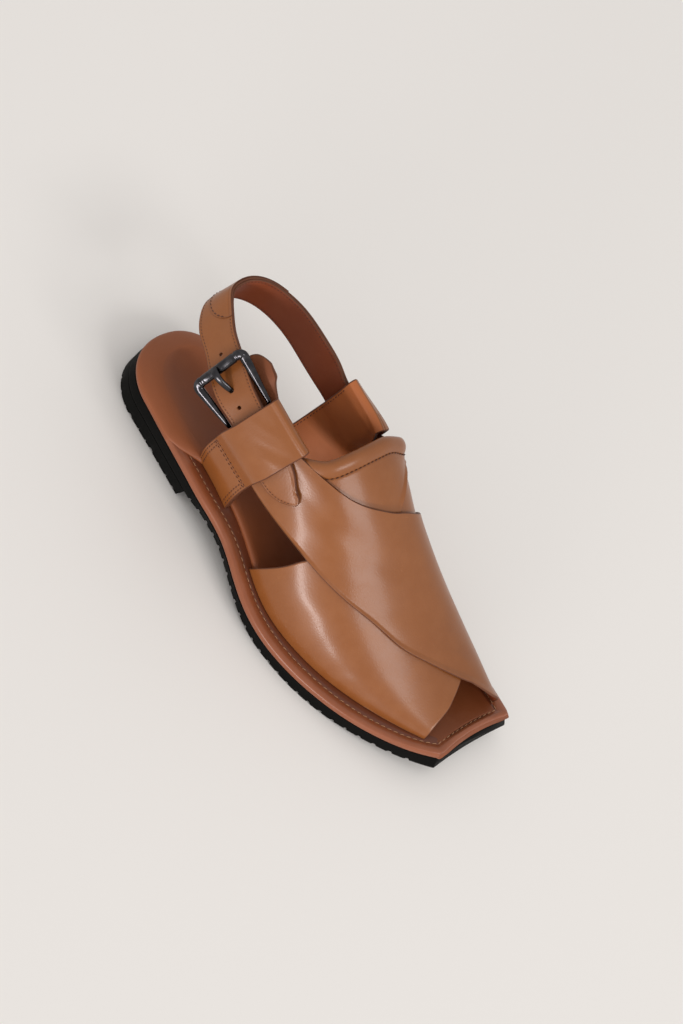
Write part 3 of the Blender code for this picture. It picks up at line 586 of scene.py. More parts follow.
# A cut of leather round a grid of middle points: outer face, inner face and a rounded cut edge
def leatherSheet(name, middle, thickness, flip, materials, seam=noSeam):
    rows, columns = middle.shape[:2]
    alongWay = np.gradient(middle, axis=0)
    acrossWay = np.gradient(middle, axis=1)
    normal = unit(np.cross(alongWay, acrossWay)) * (-1 if flip else 1)
    half = thickness / 2 * mm
    out = np.zeros_like(middle)
    out[0] -= unit(alongWay[0])
    out[-1] += unit(alongWay[-1])
    out[:, 0] -= unit(acrossWay[:, 0])
    out[:, -1] += unit(acrossWay[:, -1])
    out = unit(out) * (np.linalg.norm(out, axis=-1, keepdims=True) > 0)
    rim = half * rimDepth
    outerFace = middle + normal * half - out * rim
    innerFace = middle - normal * half - out * rim
    ring = [(i, 0) for i in range(rows)] + [(rows - 1, j) for j in range(1, columns)]
    ring += [(i, columns - 1) for i in range(rows - 2, -1, -1)] + [(0, j) for j in range(columns - 2, 0, -1)]
    ringI, ringJ = np.array(ring).T
    bands = []
    for k in range(1, rimSteps):
        turn = math.pi * k / rimSteps
        way = normal[ringI, ringJ] * half * math.cos(turn) + out[ringI, ringJ] * rim * (math.sin(turn) - 1)
        bands.append(middle[ringI, ringJ] + way)
    size = rows * columns
    length = len(ring)
    points = np.concatenate([outerFace.reshape(-1, 3), innerFace.reshape(-1, 3), *bands])
    chain = [ringI * columns + ringJ]
    chain += [2 * size + k * length + np.arange(length) for k in range(rimSteps - 1)]
    chain += [size + ringI * columns + ringJ]
    faces = [gridFaces(rows, columns, 0, flip), gridFaces(rows, columns, size, not flip)]
    indexes = [0] * len(faces[0]) + [1] * len(faces[1])
    for near, far in zip(chain, chain[1:]):
        quads = np.stack([near, far, np.roll(far, -1), np.roll(near, -1)], -1)
        faces.append(quads[:, ::-1] if flip else quads)
        indexes += [2] * length
    distances = fromEdges(middle)
    edge = np.minimum.reduce(distances)
    spots = np.stack([edge, np.broadcast_to(seam, edge.shape)], -1).reshape(-1, 2) / wearScale
    rimSpots = np.zeros((length * (rimSteps - 1), 2)) + (0, noSeam / wearScale)
    wear = np.concatenate([spots, spots, rimSpots])
    made = addMesh(name, points, np.concatenate(faces).tolist(), materials, indexes, wear)
    sheet = {"object": made, "middle": middle, "normal": normal, "half": half}
    return dict(sheet, along=distances[0], across=distances[2])


def onGrid(grid, i, j):
    rows, columns = grid.shape[:2]
    i = np.clip(i, 0, rows - 1.0001)
    j = np.clip(j, 0, columns - 1.0001)
    low, left = i.astype(int), j.astype(int)
    a = (i - low)[:, None]
    b = (j - left)[:, None]
    near = grid[low, left] * (1 - b) + grid[low, left + 1] * b
    far = grid[low + 1, left] * (1 - b) + grid[low + 1, left + 1] * b
    return near * (1 - a) + far * a


def onSheet(sheet, i, j, face=1):  # spots on one face of a sheet, with their normals
    normals = unit(onGrid(sheet["normal"], i, j)) * face
    return onGrid(sheet["middle"], i, j) + normals * sheet["half"], normals


# Spots a set distance inside one edge of a sheet, between two shares of its length
def rowInside(sheet, edge, inset, start=0.0, stop=1.0, face=1):
    rows, columns = sheet["middle"].shape[:2]
    lengthwise = edge in ("low", "high")
    measure = sheet["across"] if lengthwise else sheet["along"].T
    count = rows if lengthwise else columns
    lines = np.linspace(start * (count - 1), stop * (count - 1), 160)
    spots = []
    for line in lines:
        before = int(min(line, count - 2))
        ruler = measure[before] + (measure[before + 1] - measure[before]) * (line - before)
        target = inset if edge in ("low", "start") else ruler[-1] - inset
        spots.append(np.interp(target, ruler, np.arange(len(ruler))))
    i, j = (lines, np.array(spots)) if lengthwise else (np.array(spots), lines)
    return onSheet(sheet, i, j, face)


upperStitch = {"pitch": 2.6, "length": 1.7, "radius": 0.22, "rise": 0.22, "sink": 0.08, "slant": 0.2}
weltStitch = {"pitch": 3.9, "length": 2.6, "radius": 0.27, "rise": 0.26, "sink": 0.06, "slant": 0.1}
strapStitch = dict(upperStitch, pitch=2.0, length=1.25, radius=0.19, rise=0.12)
collarStitch = dict(upperStitch, pitch=2.8, length=1.8, radius=0.3, rise=0.5)
threadSides = 6


# Rows of thread, each stitch a short rounded bar that dips into the leather at both ends
def stitches(name, rows, look, thread, slot="tan_leather"):
    shares = np.array([-1.0, -0.8, -0.4, 0.0, 0.4, 0.8, 1.0])
    reach = (shares * look["length"] / 2)[:, None]
    thick = (look["radius"] * np.sqrt(np.maximum(1 - np.abs(shares) ** 5, 0.04)))[:, None, None]
    lift = (look["rise"] * (1 - shares * shares) - look["sink"])[:, None]
    turns = (np.arange(threadSides) * 2 * math.pi / threadSides)[:, None]
    bars = []
    for spots, normals in rows:
        steps = arcs(spots, 0)
        count = max(1, int(round(steps[-1] / look["pitch"])))
        marks = (np.arange(count) + 0.5) * steps[-1] / count

        def at(values, shift):
            return np.stack([np.interp(marks + shift, steps, values[:, k]) for k in range(3)], -1)

        up = unit(at(normals, 0))
        way = unit(at(spots, 0.6) - at(spots, -0.6))
        way = unit(way + unit(np.cross(up, way)) * look["slant"])
        side = unit(np.cross(up, way))[:, None, None]
        middle = at(spots, 0)[:, None] + (way[:, None] * reach + up[:, None] * lift) * mm
        outwards = side * np.cos(turns) + up[:, None, None] * np.sin(turns)
        bars.append((middle[:, :, None] + outwards * thick * mm).reshape(-1, 3))
    points = np.concatenate(bars)
    bar = len(shares) * threadSides
    pattern = tubeFaces(len(shares), threadSides)
    pattern += [list(range(threadSides))[::-1], list(range(bar - threadSides, bar))]
    faces = [[base + k for k in face] for base in range(0, len(points), bar) for face in pattern]
    finishPiece(addMesh(name, points, faces, [thread]), slot)


def soleEdge(table, column, station, heelRound):
    station = np.asarray(station, float)
    straight = spline(table, column, np.maximum(station, shoe["heelRound"]))
    rear = np.clip((shoe["heelRound"] - station) / heelRound, 0, 1)
    power = shoe["heelSquareness"]
    return straight * (1 - rear**power) ** (1 / power) + shoe["heelRearAcross"] * rear


# The edge moved inwards: square to the outline round the heel, and straight across further on
def insetEdge(table, column, station, heelRound, inset):
    small = 0.05
    inward = 1 if column == 1 else -1
    first = shoe["heelRound"] - heelRound
    back = np.maximum(station - small, first)
    slope = soleEdge(table, column, station + small, heelRound) - soleEdge(table, column, back, heelRound)
    slope = slope / (station + small - back)
    size = np.hypot(slope, 1)
    square = 1 - smooth(shoe["heelRound"], 78.0, station)
    inset = inward * inset
    across = soleEdge(table, column, station, heelRound) + inset * (square / size + (1 - square) * size)
    return station - inset * slope / size * square, across


def toePull(station, share, height):
    reach = np.clip((station - shoe["toeHollowStart"]) / (shoe["toeStation"] - shoe["toeHollowStart"]), 0, 1)
    hollow = shoe["toeHollow"] * reach**2 * (1 - share**2) * (1 + 0.06 * np.minimum(height, 0))
    return station - hollow - shoe["toeFlare"] * reach**2 * height


def between(first, second, count):  # evenly spaced from one spot to the other
    shares = [k / (count + 1) for k in range(1, count + 1)]
    return [[a + (b - a) * share for a, b in zip(first, second)] for share in shares]


# Up the outer side, across the top with its change of height, down the inner side and back underneath
def closedRing(outer, inner, tops, under):
    over = between(outer[-1], inner[-1], len(tops))
    over = [(moved, side, height + top) for (moved, side, height), top in zip(over, tops)]
    return [*outer, *over, *inner[::-1], *between(outer[0], inner[0], under)[::-1]]


def placeRing(ring, seat, left, right, corner=0.0, flare=0.0):
    width = np.maximum(right - left, 1)
    points = []
    for moved, side, height in ring:
        share = np.clip(2 * (side - left) / width - 1, -1, 1)
        side = side - corner * (np.clip(share, 0, 1) ** 4 - 0.3 * np.clip(-share, 0, 1) ** 4)
        side = side + flare * np.clip(share, 0, 1) ** 4 * np.maximum(seat - height, 0)
        points.append(place(toePull(moved, share, height - seat), side, height))
    return np.stack(points, 1)


# Rings of a layer with the sole's outline; levels hold inset and height above the seat, from the bottom up
def soleRings(stations, levels, tops, under):
    seat = seatHeight(stations)
    sides = []
    for column in (1, 2):
        edges = [insetEdge(soleTable, column, stations, shoe["heelRound"], inset) for inset, _ in levels]
        sides.append([(*edge, seat + height) for edge, (_, height) in zip(edges, levels)])
    left, right = [side[len(levels) // 2][1] for side in sides]
    reach = np.clip((stations - shoe["toeStation"]) / shoe["toeCornerReach"] + 1, 0, 1)
    corner = shoe["toeCorner"] * (1 - np.sqrt(1 - reach**2))
    flare = shoe["toeCornerFlare"] * smooth(shoe["toeStation"] - 20, shoe["toeStation"], stations)
    return placeRing(closedRing(*sides, tops, under), seat, left, right, corner, flare)


def ringShades(rings, levels, inner, under):  # for each point: both sides, across the top, none beneath
    parts = [*levels, *inner, *levels[::-1]] + [0.0] * under
    shades = np.stack([np.broadcast_to(part, rings.shape[0]) for part in parts], 1)
    return np.stack([shades, np.full_like(shades, noSeam / wearScale)], -1)


def loftRings(name, rings, material, levels, across, shades=None):
    count, size = rings.shape[:2]
    far = 2 * levels + across - 1
    faces = tubeFaces(count, size)
    faces += [[k, k + 1, far - k - 1, far - k] for k in range(levels - 1)]
    faces.append(list(range(levels - 1, levels + across + 1)))
    faces.append([0, *range(far, size)])
    faces.append(list(range((count - 1) * size, count * size)))
    wear = None
    if shades is not None:
        extra = np.repeat(shades[-1:], count - len(shades), 0)
        wear = np.concatenate([shades, extra]).reshape(-1, 2)
    return faceOutwards(addMesh(name, rings.reshape(-1, 3), faces, [material], None, wear))


def soleStations(first, last, step):  # close together round the heel
    turn = np.linspace(0, math.pi / 2, 40)
    heel = first + (shoe["heelRound"] - first) * (1 - np.cos(turn))
    rest = np.arange(shoe["heelRound"] + step, last, step)
    return np.concatenate([heel, rest, [last]])


def roundToe(rings, middleHeight, reach):  # copies of the last ring move forward while they close
    last = rings[-1]
    steps = 5
    extra = []
    for k in range(1, steps + 1):
        turn = math.pi / 2 * k / steps * 0.96
        ring = last.copy()
        ring[:, 2] = middleHeight + (last[:, 2] - middleHeight) * math.cos(turn)
        ring[:, 0] += reach * mm * math.sin(turn)
        extra.append(ring)
    return np.concatenate([rings, np.stack(extra)])


midsoleLook = {
    "roll": 0.6,  # how far the rolled edge stands past the rubber
    "cover": 0.7,  # how much thinner it is under the heel's cover
    "stitchInset": 6.3,
    "toeStitchInset": 4.9,
    "stitchStart": 68.0,
    "paintedShadeFrom": 5.4,  # the margin is darker inside its stitches: partly the footbed's darker leather, partly painted shade along the insole's edge
    "rimEnd": (50.0, 84.0),  # stations where the heel's cover draws in from the sole's edge
}

# Section through the stitched margin: distance from the edge, rise
marginBead = (
    (0, 0),
    (1.4, 0.3),
    (2.3, 0.5),
    (3.2, 0.5),
    (4.2, 0.3),
    (5.2, -0.1),
    (6.0, -0.5),
    (6.6, -0.5),
    (7.3, -0.2),
    (9, 0),
)
marginLevels = (1.4, 2.3, 3.2, 4.2, 5.2, 5.7, 6.0, 6.6, 7.0, 7.3, 8.2, 9.0, 11.0)

# How far the rubber tapers in at the ground: station, inset
underCut = ((0, 0.0), (30, 1.1), (50, 2.2), (80, 2.9), (115, 3.1), (150, 2.2), (185, 1.0), (205, 0.0))


def along(table, value):
    return np.interp(value, [row[0] for row in table], [row[1] for row in table])


def buildMidsole():
    look = midsoleLook
    stations = soleStations(0.002, shoe["toeStation"] - 0.6, 0.8)
    roll = shoe["midsole"] / 2
    covered = 1 - smooth(*look["rimEnd"], stations)
    levels = []
    for k in range(9):
        turn = math.pi * k / 8
        tuck = look["cover"] * covered * max(k - 3, 0) / 5
        inset = roll * 0.55 * (1 - math.sin(turn)) - look["roll"]
        levels.append((inset + tuck, shoe["gap"] + roll * (1 - math.cos(turn)) - tuck))
    shades = [0.0] * len(levels)
    topHeight = shoe["gap"] + shoe["midsole"] - look["cover"] * covered
    stitched = smooth(look["stitchStart"] - 6, look["stitchStart"] + 2, stations)
    fromToe = (shoe["toeStation"] - stations) * look["stitchInset"] / look["toeStitchInset"]
    # darker inside the stitches: partly painted shade along the insole's edge
    for inset in marginLevels:
        near = np.minimum(inset, fromToe)
        levels.append((inset + look["cover"] * covered, topHeight + along(marginBead, near) * stitched))
        shades.append(smooth(look["paintedShadeFrom"], look["paintedShadeFrom"] + 1.8, near) * stitched)
    across = 9
    under = 9
    inner = [smooth(look["paintedShadeFrom"], look["paintedShadeFrom"] + 1.8, fromToe) * stitched] * across
    rings = soleRings(stations, levels, [along(marginBead, fromToe)] * across, under)
    lightAndShadeTones = ringShades(rings, shades, inner, under)
    seat = float(seatHeight(shoe["toeStation"]))
    rings = roundToe(rings, (seat + shoe["gap"] + roll) * mm, 1.3)
    finishPiece(loftRings("midsole_wrap", rings, wrap, len(levels), across, lightAndShadeTones), "wrapped_edge", "midsole")


insoleLook = {
    "hollows": ((2.6, 40, 36), (0.7, 190, 26)),  # under the heel and the ball: depth, station, half length
    "toeFade": (205.0, 255.0),
    # width of the pale band on the heel cover's top: painted light on the rim, painted shade in the dish
    # beyond
    "paintedLightWidth": 13.0,
}

# Edge of the insole: inset and height further on, then inset from the sole's edge and height at the heel,
# and how pale it is further on, partly the wrapped edge's own colour and partly a painted highlight along the
# raised edge
insoleEdge = (
    (0.5, -0.4, -0.72, -2.3, 1.0),
    (0.3, 0.1, -0.75, -1.6, 1.0),
    (0.15, 0.6, -0.5, -0.7, 1.0),
    (0.0, 1.1, 0.1, 0.05, 1.0),
    (0.05, 1.7, 1.2, 0.75, 0.9),
    (0.4, 2.4, 2.8, 1.45, 0.75),
    (1.0, 2.85, 4.6, 2.15, 0.5),
    (1.9, 3.15, 6.6, 2.7, 0.25),
    (3.1, 3.35, 8.8, 3.1, 0.1),
    (4.5, 3.4, 11.2, 3.3, 0.0),
)


def buildInsole():
    look = insoleLook
    heelRound = shoe["heelRound"]
    stations = soleStations(3.002, insoleTable[-1][0] - 1.2, 1.2)
    wide = heelRound - (heelRound - stations) * heelRound / shoe["insoleHeelRound"]
    wide = np.where(stations < heelRound, np.maximum(wide, 0.002), stations)
    base = shoe["midsole"] + shoe["gap"]
    rim = 1 - smooth(*midsoleLook["rimEnd"], stations)
    fade = 1 - 0.95 * smooth(*look["toeFade"], stations)
    seat = seatHeight(stations)
    sides = []
    for column in (1, 2):
        row = []
        for inset, height, heelInset, heelHeight, pale in insoleEdge:
            near = insetEdge(insoleTable, column, stations, shoe["insoleHeelRound"], inset)
            far = insetEdge(soleTable, column, wide, heelRound, heelInset)
            spot = [a + (b - a) * rim for a, b in zip(near, far)]
            high = base + height * np.where(height > 0, fade, 1) * (1 - rim) + heelHeight * rim
            row.append((*spot, seat + high))
        sides.append(row)
    outer, inner = sides
    width = inner[-1][1] - outer[-1][1]
    dish = 0.0
    for depth, middle, half in look["hollows"]:
        dish = dish + depth * np.exp(-(((stations - middle) / half) ** 2))
    across = 29
    under = 5
    tops = []
    lightAndShadeTones = []
    # pale near the rim and dark in the middle of the heel's cover: painted light and painted shade
    for k in range(1, across + 1):
        share = k / (across + 1)
        tops.append(-dish * smooth(0, 24, width) * math.sin(math.pi * share) ** 1.2)
        lightAndShadeTones.append((1 - smooth(-3.0, look["paintedLightWidth"], min(share, 1 - share) * width)) * rim)
    rings = placeRing(closedRing(outer, inner, tops, under), seat, outer[3][1], inner[3][1])
    paleEdgeAndHighlight = [rim + pale * (1 - rim) * fade**3 for *_, pale in insoleEdge]
    shades = ringShades(rings, paleEdgeAndHighlight, lightAndShadeTones, under)
    rings = roundToe(rings, (float(seat[-1]) + base - 0.4) * mm, 0.8)
    made = loftRings("insole_cover", rings, footbed, len(insoleEdge), across, shades)
    finishPiece(made, "insole_leather", "insole")


treadLook = {
    "pitch": 7.6,
    "groove": 2.0,
    "depth": 1.3,
    "start": 88.0,
    "end": (274.0, 277.0),
    "chevron": 5.0,  # how far the grooves lean forward at the middle
    "chevronEnd": (262.0, 274.0),
    "taperStart": (84.0, 100.0),
}


def buildOutsole():
    look = treadLook
    stations = soleStations(0.002, shoe["toeStation"], 0.5)
    seat = seatHeight(stations)
    phase = (stations - look["start"]) % look["pitch"]
    inGroove = smooth(0.0, 0.3, phase) * (1 - smooth(look["groove"] - 0.3, look["groove"], phase))
    tread = smooth(look["start"] - 2.5, look["start"], stations) * (1 - smooth(*look["end"], stations))
    cut = look["depth"] * inGroove * tread
    ground = np.maximum(0.0, seat - shoe["outsole"]) + cut - seat
    taper = along(underCut, stations) * (0.4 + 0.6 * smooth(*look["taperStart"], stations))
    levels = [
        (taper - 0.1, ground),
        (taper - 0.4, ground + 0.06),
        (taper - 0.6, ground + 0.4),
        (0.25 * inGroove * tread + taper * 0.85 - 0.6, ground + 1.4),
        (taper * 0.5 - 0.35, ground * 0.5),
        (taper * 0.15 - 0.1, -1.0),
        (0.0, -0.4),
        (0.3, 0.0),
    ]
    across = 3
    under = 21
    rings = soleRings(stations, levels, [0.0] * across, under)
    lowest = rings.shape[1] - under
    for k in range(under):
        share = abs((k + 1) / (under + 1) * 2 - 1)
        shift = look["chevron"] * (1 - share**1.5) * tread * (1 - smooth(*look["chevronEnd"], stations))
        rings[:, lowest + k, 0] += shift * mm
    for spot in range(lowest, rings.shape[1]):
        bend = np.interp(rings[:, spot, 0], rings[:, 0, 0], rings[:, 0, 2] - cut * mm)
        rings[:, spot, 2] = bend + cut * mm
    finishPiece(loftRings("outsole_rubber", rings, rubber, len(levels), across), "rubber", "outsole")


heelLook = {
    "breast": 83.5,
    "slant": 2.5,
    "notches": (30.0, 52.0),
    "notch": 2.4,
    "depth": 1.3,
    "ribs": 4.0,
    "ribHeight": 0.45,
    "ribStart": (4.0, 8.0),
    "ribEnd": (76.0, 79.0),
    "nick": 0.8,  # depth of the small nicks round the edge
}


def buildHeel():
    look = heelLook
    stations = soleStations(0.01, look["breast"] - look["slant"], 0.5)
    seat = seatHeight(stations)
    cut = np.zeros(len(stations))
    for centre in look["notches"]:
        away = np.abs(stations - centre)
        cut = np.maximum(cut, look["depth"] * (1 - smooth(look["notch"] / 2 - 0.3, look["notch"] / 2, away)))
    phase = (stations - 2.0) % look["ribs"]
    ribs = look["ribHeight"] * (1 - smooth(0.35, 0.75, np.abs(phase - look["ribs"] / 2)))
    ribs *= smooth(*look["ribStart"], stations) * (1 - smooth(*look["ribEnd"], stations))
    top = -shoe["outsole"] - shoe["gap"]
    pitch = treadLook["pitch"]
    nicked = 1 - smooth(0.45, 0.7, np.abs((stations + 3.2) % pitch - pitch / 2))
    cut = np.maximum(cut, look["nick"] * nicked * (cut < 0.05) * (stations > 6))
    taper = along(underCut, stations)
    levels = [
        (taper + 0.3, cut - seat),
        (taper - 0.15, cut + 0.15 - seat),
        (0.35 * (cut > 0.5) + taper * 0.97 - 0.45, cut + 0.7 - seat),
        (0.35 * (cut > 0.5) + taper * 0.9 - 0.5, 1.9 - seat),
        (taper * 0.8 - 0.45, 3.4 - seat),
        (taper * 0.42 - 0.5, top - 0.5),
        (taper * 0.4 - 0.45, top - 0.05),
        (taper * 0.4 - 0.3, top),
    ]
    across = 3
    under = 13
    rings = soleRings(stations, levels, [0.0] * across, under)
    inside = rings[:, 1 - under : -1, 2]
    inside[:] = np.maximum(inside, ribs[:, None] * mm)
    breast = []
    for k in range(1, 4):
        ring = rings[-1].copy()
        share = ring[:, 2] / ((18.0 + top) * mm)
        shift = look["slant"] * mm * share * k / 3
        ring[:, 0] += shift
        ring[:, 1] -= shoe["lean"] * shift
        breast.append(ring)
    rings = np.concatenate([rings, np.stack(breast)])
    made = finishPiece(loftRings("heel_block", rings, rubber, len(levels), across), "rubber", "heel")
    made.data.set_sharp_from_angle(angle=math.radians(50))


def buildWeltStitches():
    look = midsoleLook
    toeRow = shoe["toeStation"] - look["toeStitchInset"]
    height = shoe["gap"] + shoe["midsole"] - 0.35
    stations = np.linspace(look["stitchStart"], toeRow, 400)
    outer, inner = [
        insetEdge(soleTable, column, stations, shoe["heelRound"], look["stitchInset"]) for column in (1, 2)
    ]
    toe = (np.full(60, toeRow), np.linspace(outer[1][-1], inner[1][-1], 60))
    rows = []
    for moved, across in (outer, toe, inner):
        left, right = [soleEdge(soleTable, column, moved, shoe["heelRound"]) for column in (1, 2)]
        share = 2 * (across - left) / (right - left) - 1
        spots = place(toePull(moved, share, height), across, seatHeight(moved) + height)
        slope = unit(np.gradient(spots, axis=0))
        level = np.stack([-slope[:, 1], slope[:, 0], 0 * slope[:, 0]], -1)
        up = unit(np.cross(slope, unit(level)))
        rows.append((spots, up * np.sign(up[:, 2:3])))
    stitches("welt_stitches", rows, weltStitch, paleThread, "wrapped_edge")


buildMidsole()
buildInsole()
buildOutsole()
buildHeel()
buildWeltStitches()
print("sole built")


# Rear edge, then front edge, from the outer forefoot to the inner loop: station and girth share
underBandTable = (
    (139.0, 0.000, 268.0, 0.000),
    (144.3, 0.058, 267.2, 0.100),
    (149.4, 0.125, 264.6, 0.225),
    (152.0, 0.179, 261.3, 0.332),
    (150.5, 0.212, 258.2, 0.385),
    (132.0, 0.258, 254.4, 0.436),
    (115.0, 0.305, 247.0, 0.510),
    (117.0, 0.345, 238.0, 0.575),
    (119.5, 0.400, 225.0, 0.630),
    (120.5, 0.470, 205.0, 0.680),
    (120.3, 0.560, 182.0, 0.735),
    (119.5, 0.655, 158.0, 0.790),
    (117.5, 0.745, 136.0, 0.850),
    (110.0, 0.815, 121.0, 0.888),
    (97.0, 0.860, 99.0, 0.912),
)

# Toe edge, then collar edge, from the inner forefoot to the outer loop
overBandTable = (
    (270.0, 1.000, 146.0, 1.000),
    (270.0, 0.820, 150.0, 0.910),
    (266.8, 0.657, 155.5, 0.800),
    (259.6, 0.552, 158.8, 0.690),
    (249.5, 0.471, 158.6, 0.600),
    (230.5, 0.382, 154.9, 0.508),
    (217.0, 0.335, 150.2, 0.458),
    (202.0, 0.306, 144.5, 0.414),
    (187.0, 0.270, 136.5, 0.371),
    (171.0, 0.234, 127.0, 0.337),
    (145.0, 0.178, 117.0, 0.306),
    (118.0, 0.119, 107.0, 0.281),
    (97.0, 0.106, 95.0, 0.255),
    (83.0, 0.105, 83.0, 0.240),
)

# Instep collar from the outer loop to the inner loop: hidden front edge, top edge, how full its roll is
collarTable = (
    (99.0, 0.225, 105.4, 0.262, 0.3),
    (115.0, 0.245, 107.6, 0.279, 0.45),
    (129.0, 0.270, 111.4, 0.306, 0.7),
    (141.0, 0.305, 115.0, 0.341, 1.0),
    (150.0, 0.350, 116.6, 0.379, 1.0),
    (158.0, 0.405, 117.2, 0.427, 1.0),
    (162.0, 0.455, 117.4, 0.466, 1.0),
    (159.0, 0.485, 117.3, 0.520, 1.0),
    (153.0, 0.522, 117.3, 0.565, 1.0),
    (146.5, 0.568, 118.3, 0.620, 1.0),
    (140.0, 0.620, 119.5, 0.675, 1.0),
    (133.0, 0.700, 119.0, 0.738, 0.8),
    (124.0, 0.785, 115.0, 0.800, 0.5),
    (114.0, 0.850, 106.0, 0.850, 0.2),
)

# Soft folds in the leather: station, girth, direction in degrees from the shoe's length, half length,
# half width, depth (a trough below zero, a ridge above)
underFolds = (
    (214, 0.10, 70, 18, 5.0, -0.1),
    (222, 0.13, 66, 20, 4.5, 0.1),
    (232, 0.12, 62, 16, 5.0, -0.1),
    (196, 0.09, 80, 18, 6.0, -0.1),
    (176, 0.16, 40, 26, 7.0, 0.25),
)
overFolds = (
    (200, 0.40, 62, 26, 7.0, -0.3),
    (176, 0.34, 58, 22, 6.0, 0.3),
    (224, 0.62, 70, 20, 7.0, -0.3),
    (150, 0.28, 35, 18, 5.0, 0.35),
    (236, 0.50, 60, 16, 4.0, 0.25),
)
girthLength = 175.0  # mm round the last for one whole girth


def ripple(dx, dy, degrees, halfLength, halfWidth):  # a soft ridge, one high, turned from the first way
    turned = math.radians(degrees)
    a = dx * math.cos(turned) + dy * math.sin(turned)
    b = dy * math.cos(turned) - dx * math.sin(turned)
    return np.exp(-((a / halfLength) ** 2) - (b / halfWidth) ** 2)


# lift is from the last to the leather's middle; the last two add to it over the collar and along the toe edge
bandLook = {
    "under_band": {"thickness": 1.5, "lift": 0.75, "overCollar": 0.0, "proud": 0.0},
    "over_band": {"thickness": 1.6, "lift": 2.45, "overCollar": 0.8, "proud": 0.7},
}


def buildBand(name, table, folds, *nodes):
    look = bandLook[name]
    u, v = np.meshgrid(np.linspace(0, 1, 170), np.linspace(0, 1, 90), indexing="ij")
    row = u * (len(table) - 1)
    firstStation, firstGirth, lastStation, lastGirth = columnsAt(table, row)
    station = firstStation + (lastStation - firstStation) * v
    girth = np.clip(firstGirth + (lastGirth - firstGirth) * v, 0.001, 0.999)
    lift = look["lift"] + look["overCollar"] * smooth(0.55, 0.9, v) * smooth(1.5, 3.0, row)
    lift = lift + look["proud"] * smooth(0.06, 0.0, v) * (1 - smooth(11.0, 12.5, row))
    for centre, centreGirth, degrees, halfLength, halfWidth, depth in folds:
        aside = (girth - centreGirth) * girthLength
        lift = lift + depth * ripple(station - centre, aside, degrees, halfLength, halfWidth)
    sheet = leatherSheet(name, lastPoint(station, girth, lift), look["thickness"], True, hide)
    finishPiece(sheet["object"], "tan_leather", *nodes)


collarLook = {
    "thickness": 1.3,
    "stitchRow": 4,
    "puff": 0.8,
    "flare": 3.0,  # how far the inner corner stands out
    "flareGirth": 0.70,
    "flareWidth": 0.07,
    "edgeLift": 1.2,
}

# Section through the collar's roll: distance below the top edge, lift of the leather's middle, puff share
collarRoll = (
    (13.2, 1.90, 0.0),
    (11.4, 1.95, 0.0),
    (10.1, 2.00, 0.0),
    (9.3, 1.90, 0.0),
    (8.6, 1.70, 0.0),
    (7.9, 1.95, 0.15),
    (6.9, 2.25, 0.45),
    (5.5, 2.55, 0.8),
    (4.0, 2.70, 1.0),
    (2.5, 2.70, 1.05),
    (1.2, 2.45, 1.0),
    (0.2, 1.95, 0.8),
    (-0.4, 1.20, 0.6),
    (-0.5, 0.45, 0.4),
    (-0.1, -0.20, 0.2),
    (0.8, -0.65, 0.0),
    (2.5, -0.85, 0.0),
    (5.0, -0.90, 0.0),
    (9.0, -0.85, 0.0),
)


def buildCollar():
    look = collarLook
    rowCount = 220
    flatCount = 26
    fineCount = 66
    row = np.linspace(0, len(collarTable) - 1, rowCount)
    frontStation, frontGirth, topStation, topGirth, full = columnsAt(collarTable, row)
    span = lastPoint(frontStation, frontGirth) - lastPoint(topStation, topGirth)
    span = np.linalg.norm(span, axis=-1)[:, None] / mm
    below, raised, puffed = columnsAt(collarRoll, np.linspace(0, len(collarRoll) - 1, fineCount))
    start, startLift, _ = collarRoll[0]
    shares = np.linspace(1, 0, flatCount + 1)[:-1]
    flat = start + np.maximum(span - start, 0.4) * shares
    distance = np.concatenate([flat, np.tile(below, (rowCount, 1))], 1)
    puff = np.concatenate([np.zeros(flatCount), puffed])
    lift = np.concatenate([startLift - 0.8 * shares, raised]) + puff * look["puff"] * full[:, None]
    share = 1 - distance / span
    station = frontStation[:, None] + (topStation - frontStation)[:, None] * share
    girth = frontGirth[:, None] + (topGirth - frontGirth)[:, None] * share
    away = (girth - look["flareGirth"]) / look["flareWidth"]
    lift = lift + look["flare"] * np.exp(-(away**2)) * smooth(15.0, 4.0, distance)
    lift = lift + look["edgeLift"] * smooth(7.0, 8.5, row)[:, None] * (1 - smooth(0.0, 0.16, share))
    grid = lastPoint(station, np.clip(girth, 0.001, 0.999), lift)
    line = flatCount + look["stitchRow"] * (fineCount - 1) / (len(collarRoll) - 1)
    inside = np.where(np.arange(flatCount + fineCount) > line + 8, noSeam, 0.0)
    seam = np.abs(distance - collarRoll[look["stitchRow"]][0]) + inside
    sheet = leatherSheet("instep_collar", grid, look["thickness"], False, [tan, tan, cutEdge], seam)
    finishPiece(sheet["object"], "tan_leather")
    at = np.arange(4.0, rowCount - 4)
    stitches("collar_stitches", [onSheet(sheet, at, np.full(len(at), line))], collarStitch, darkThread)


buildBand("under_band", underBandTable, underFolds, "upper")
buildBand("over_band", overBandTable, overFolds)
buildCollar()
print("upper built")


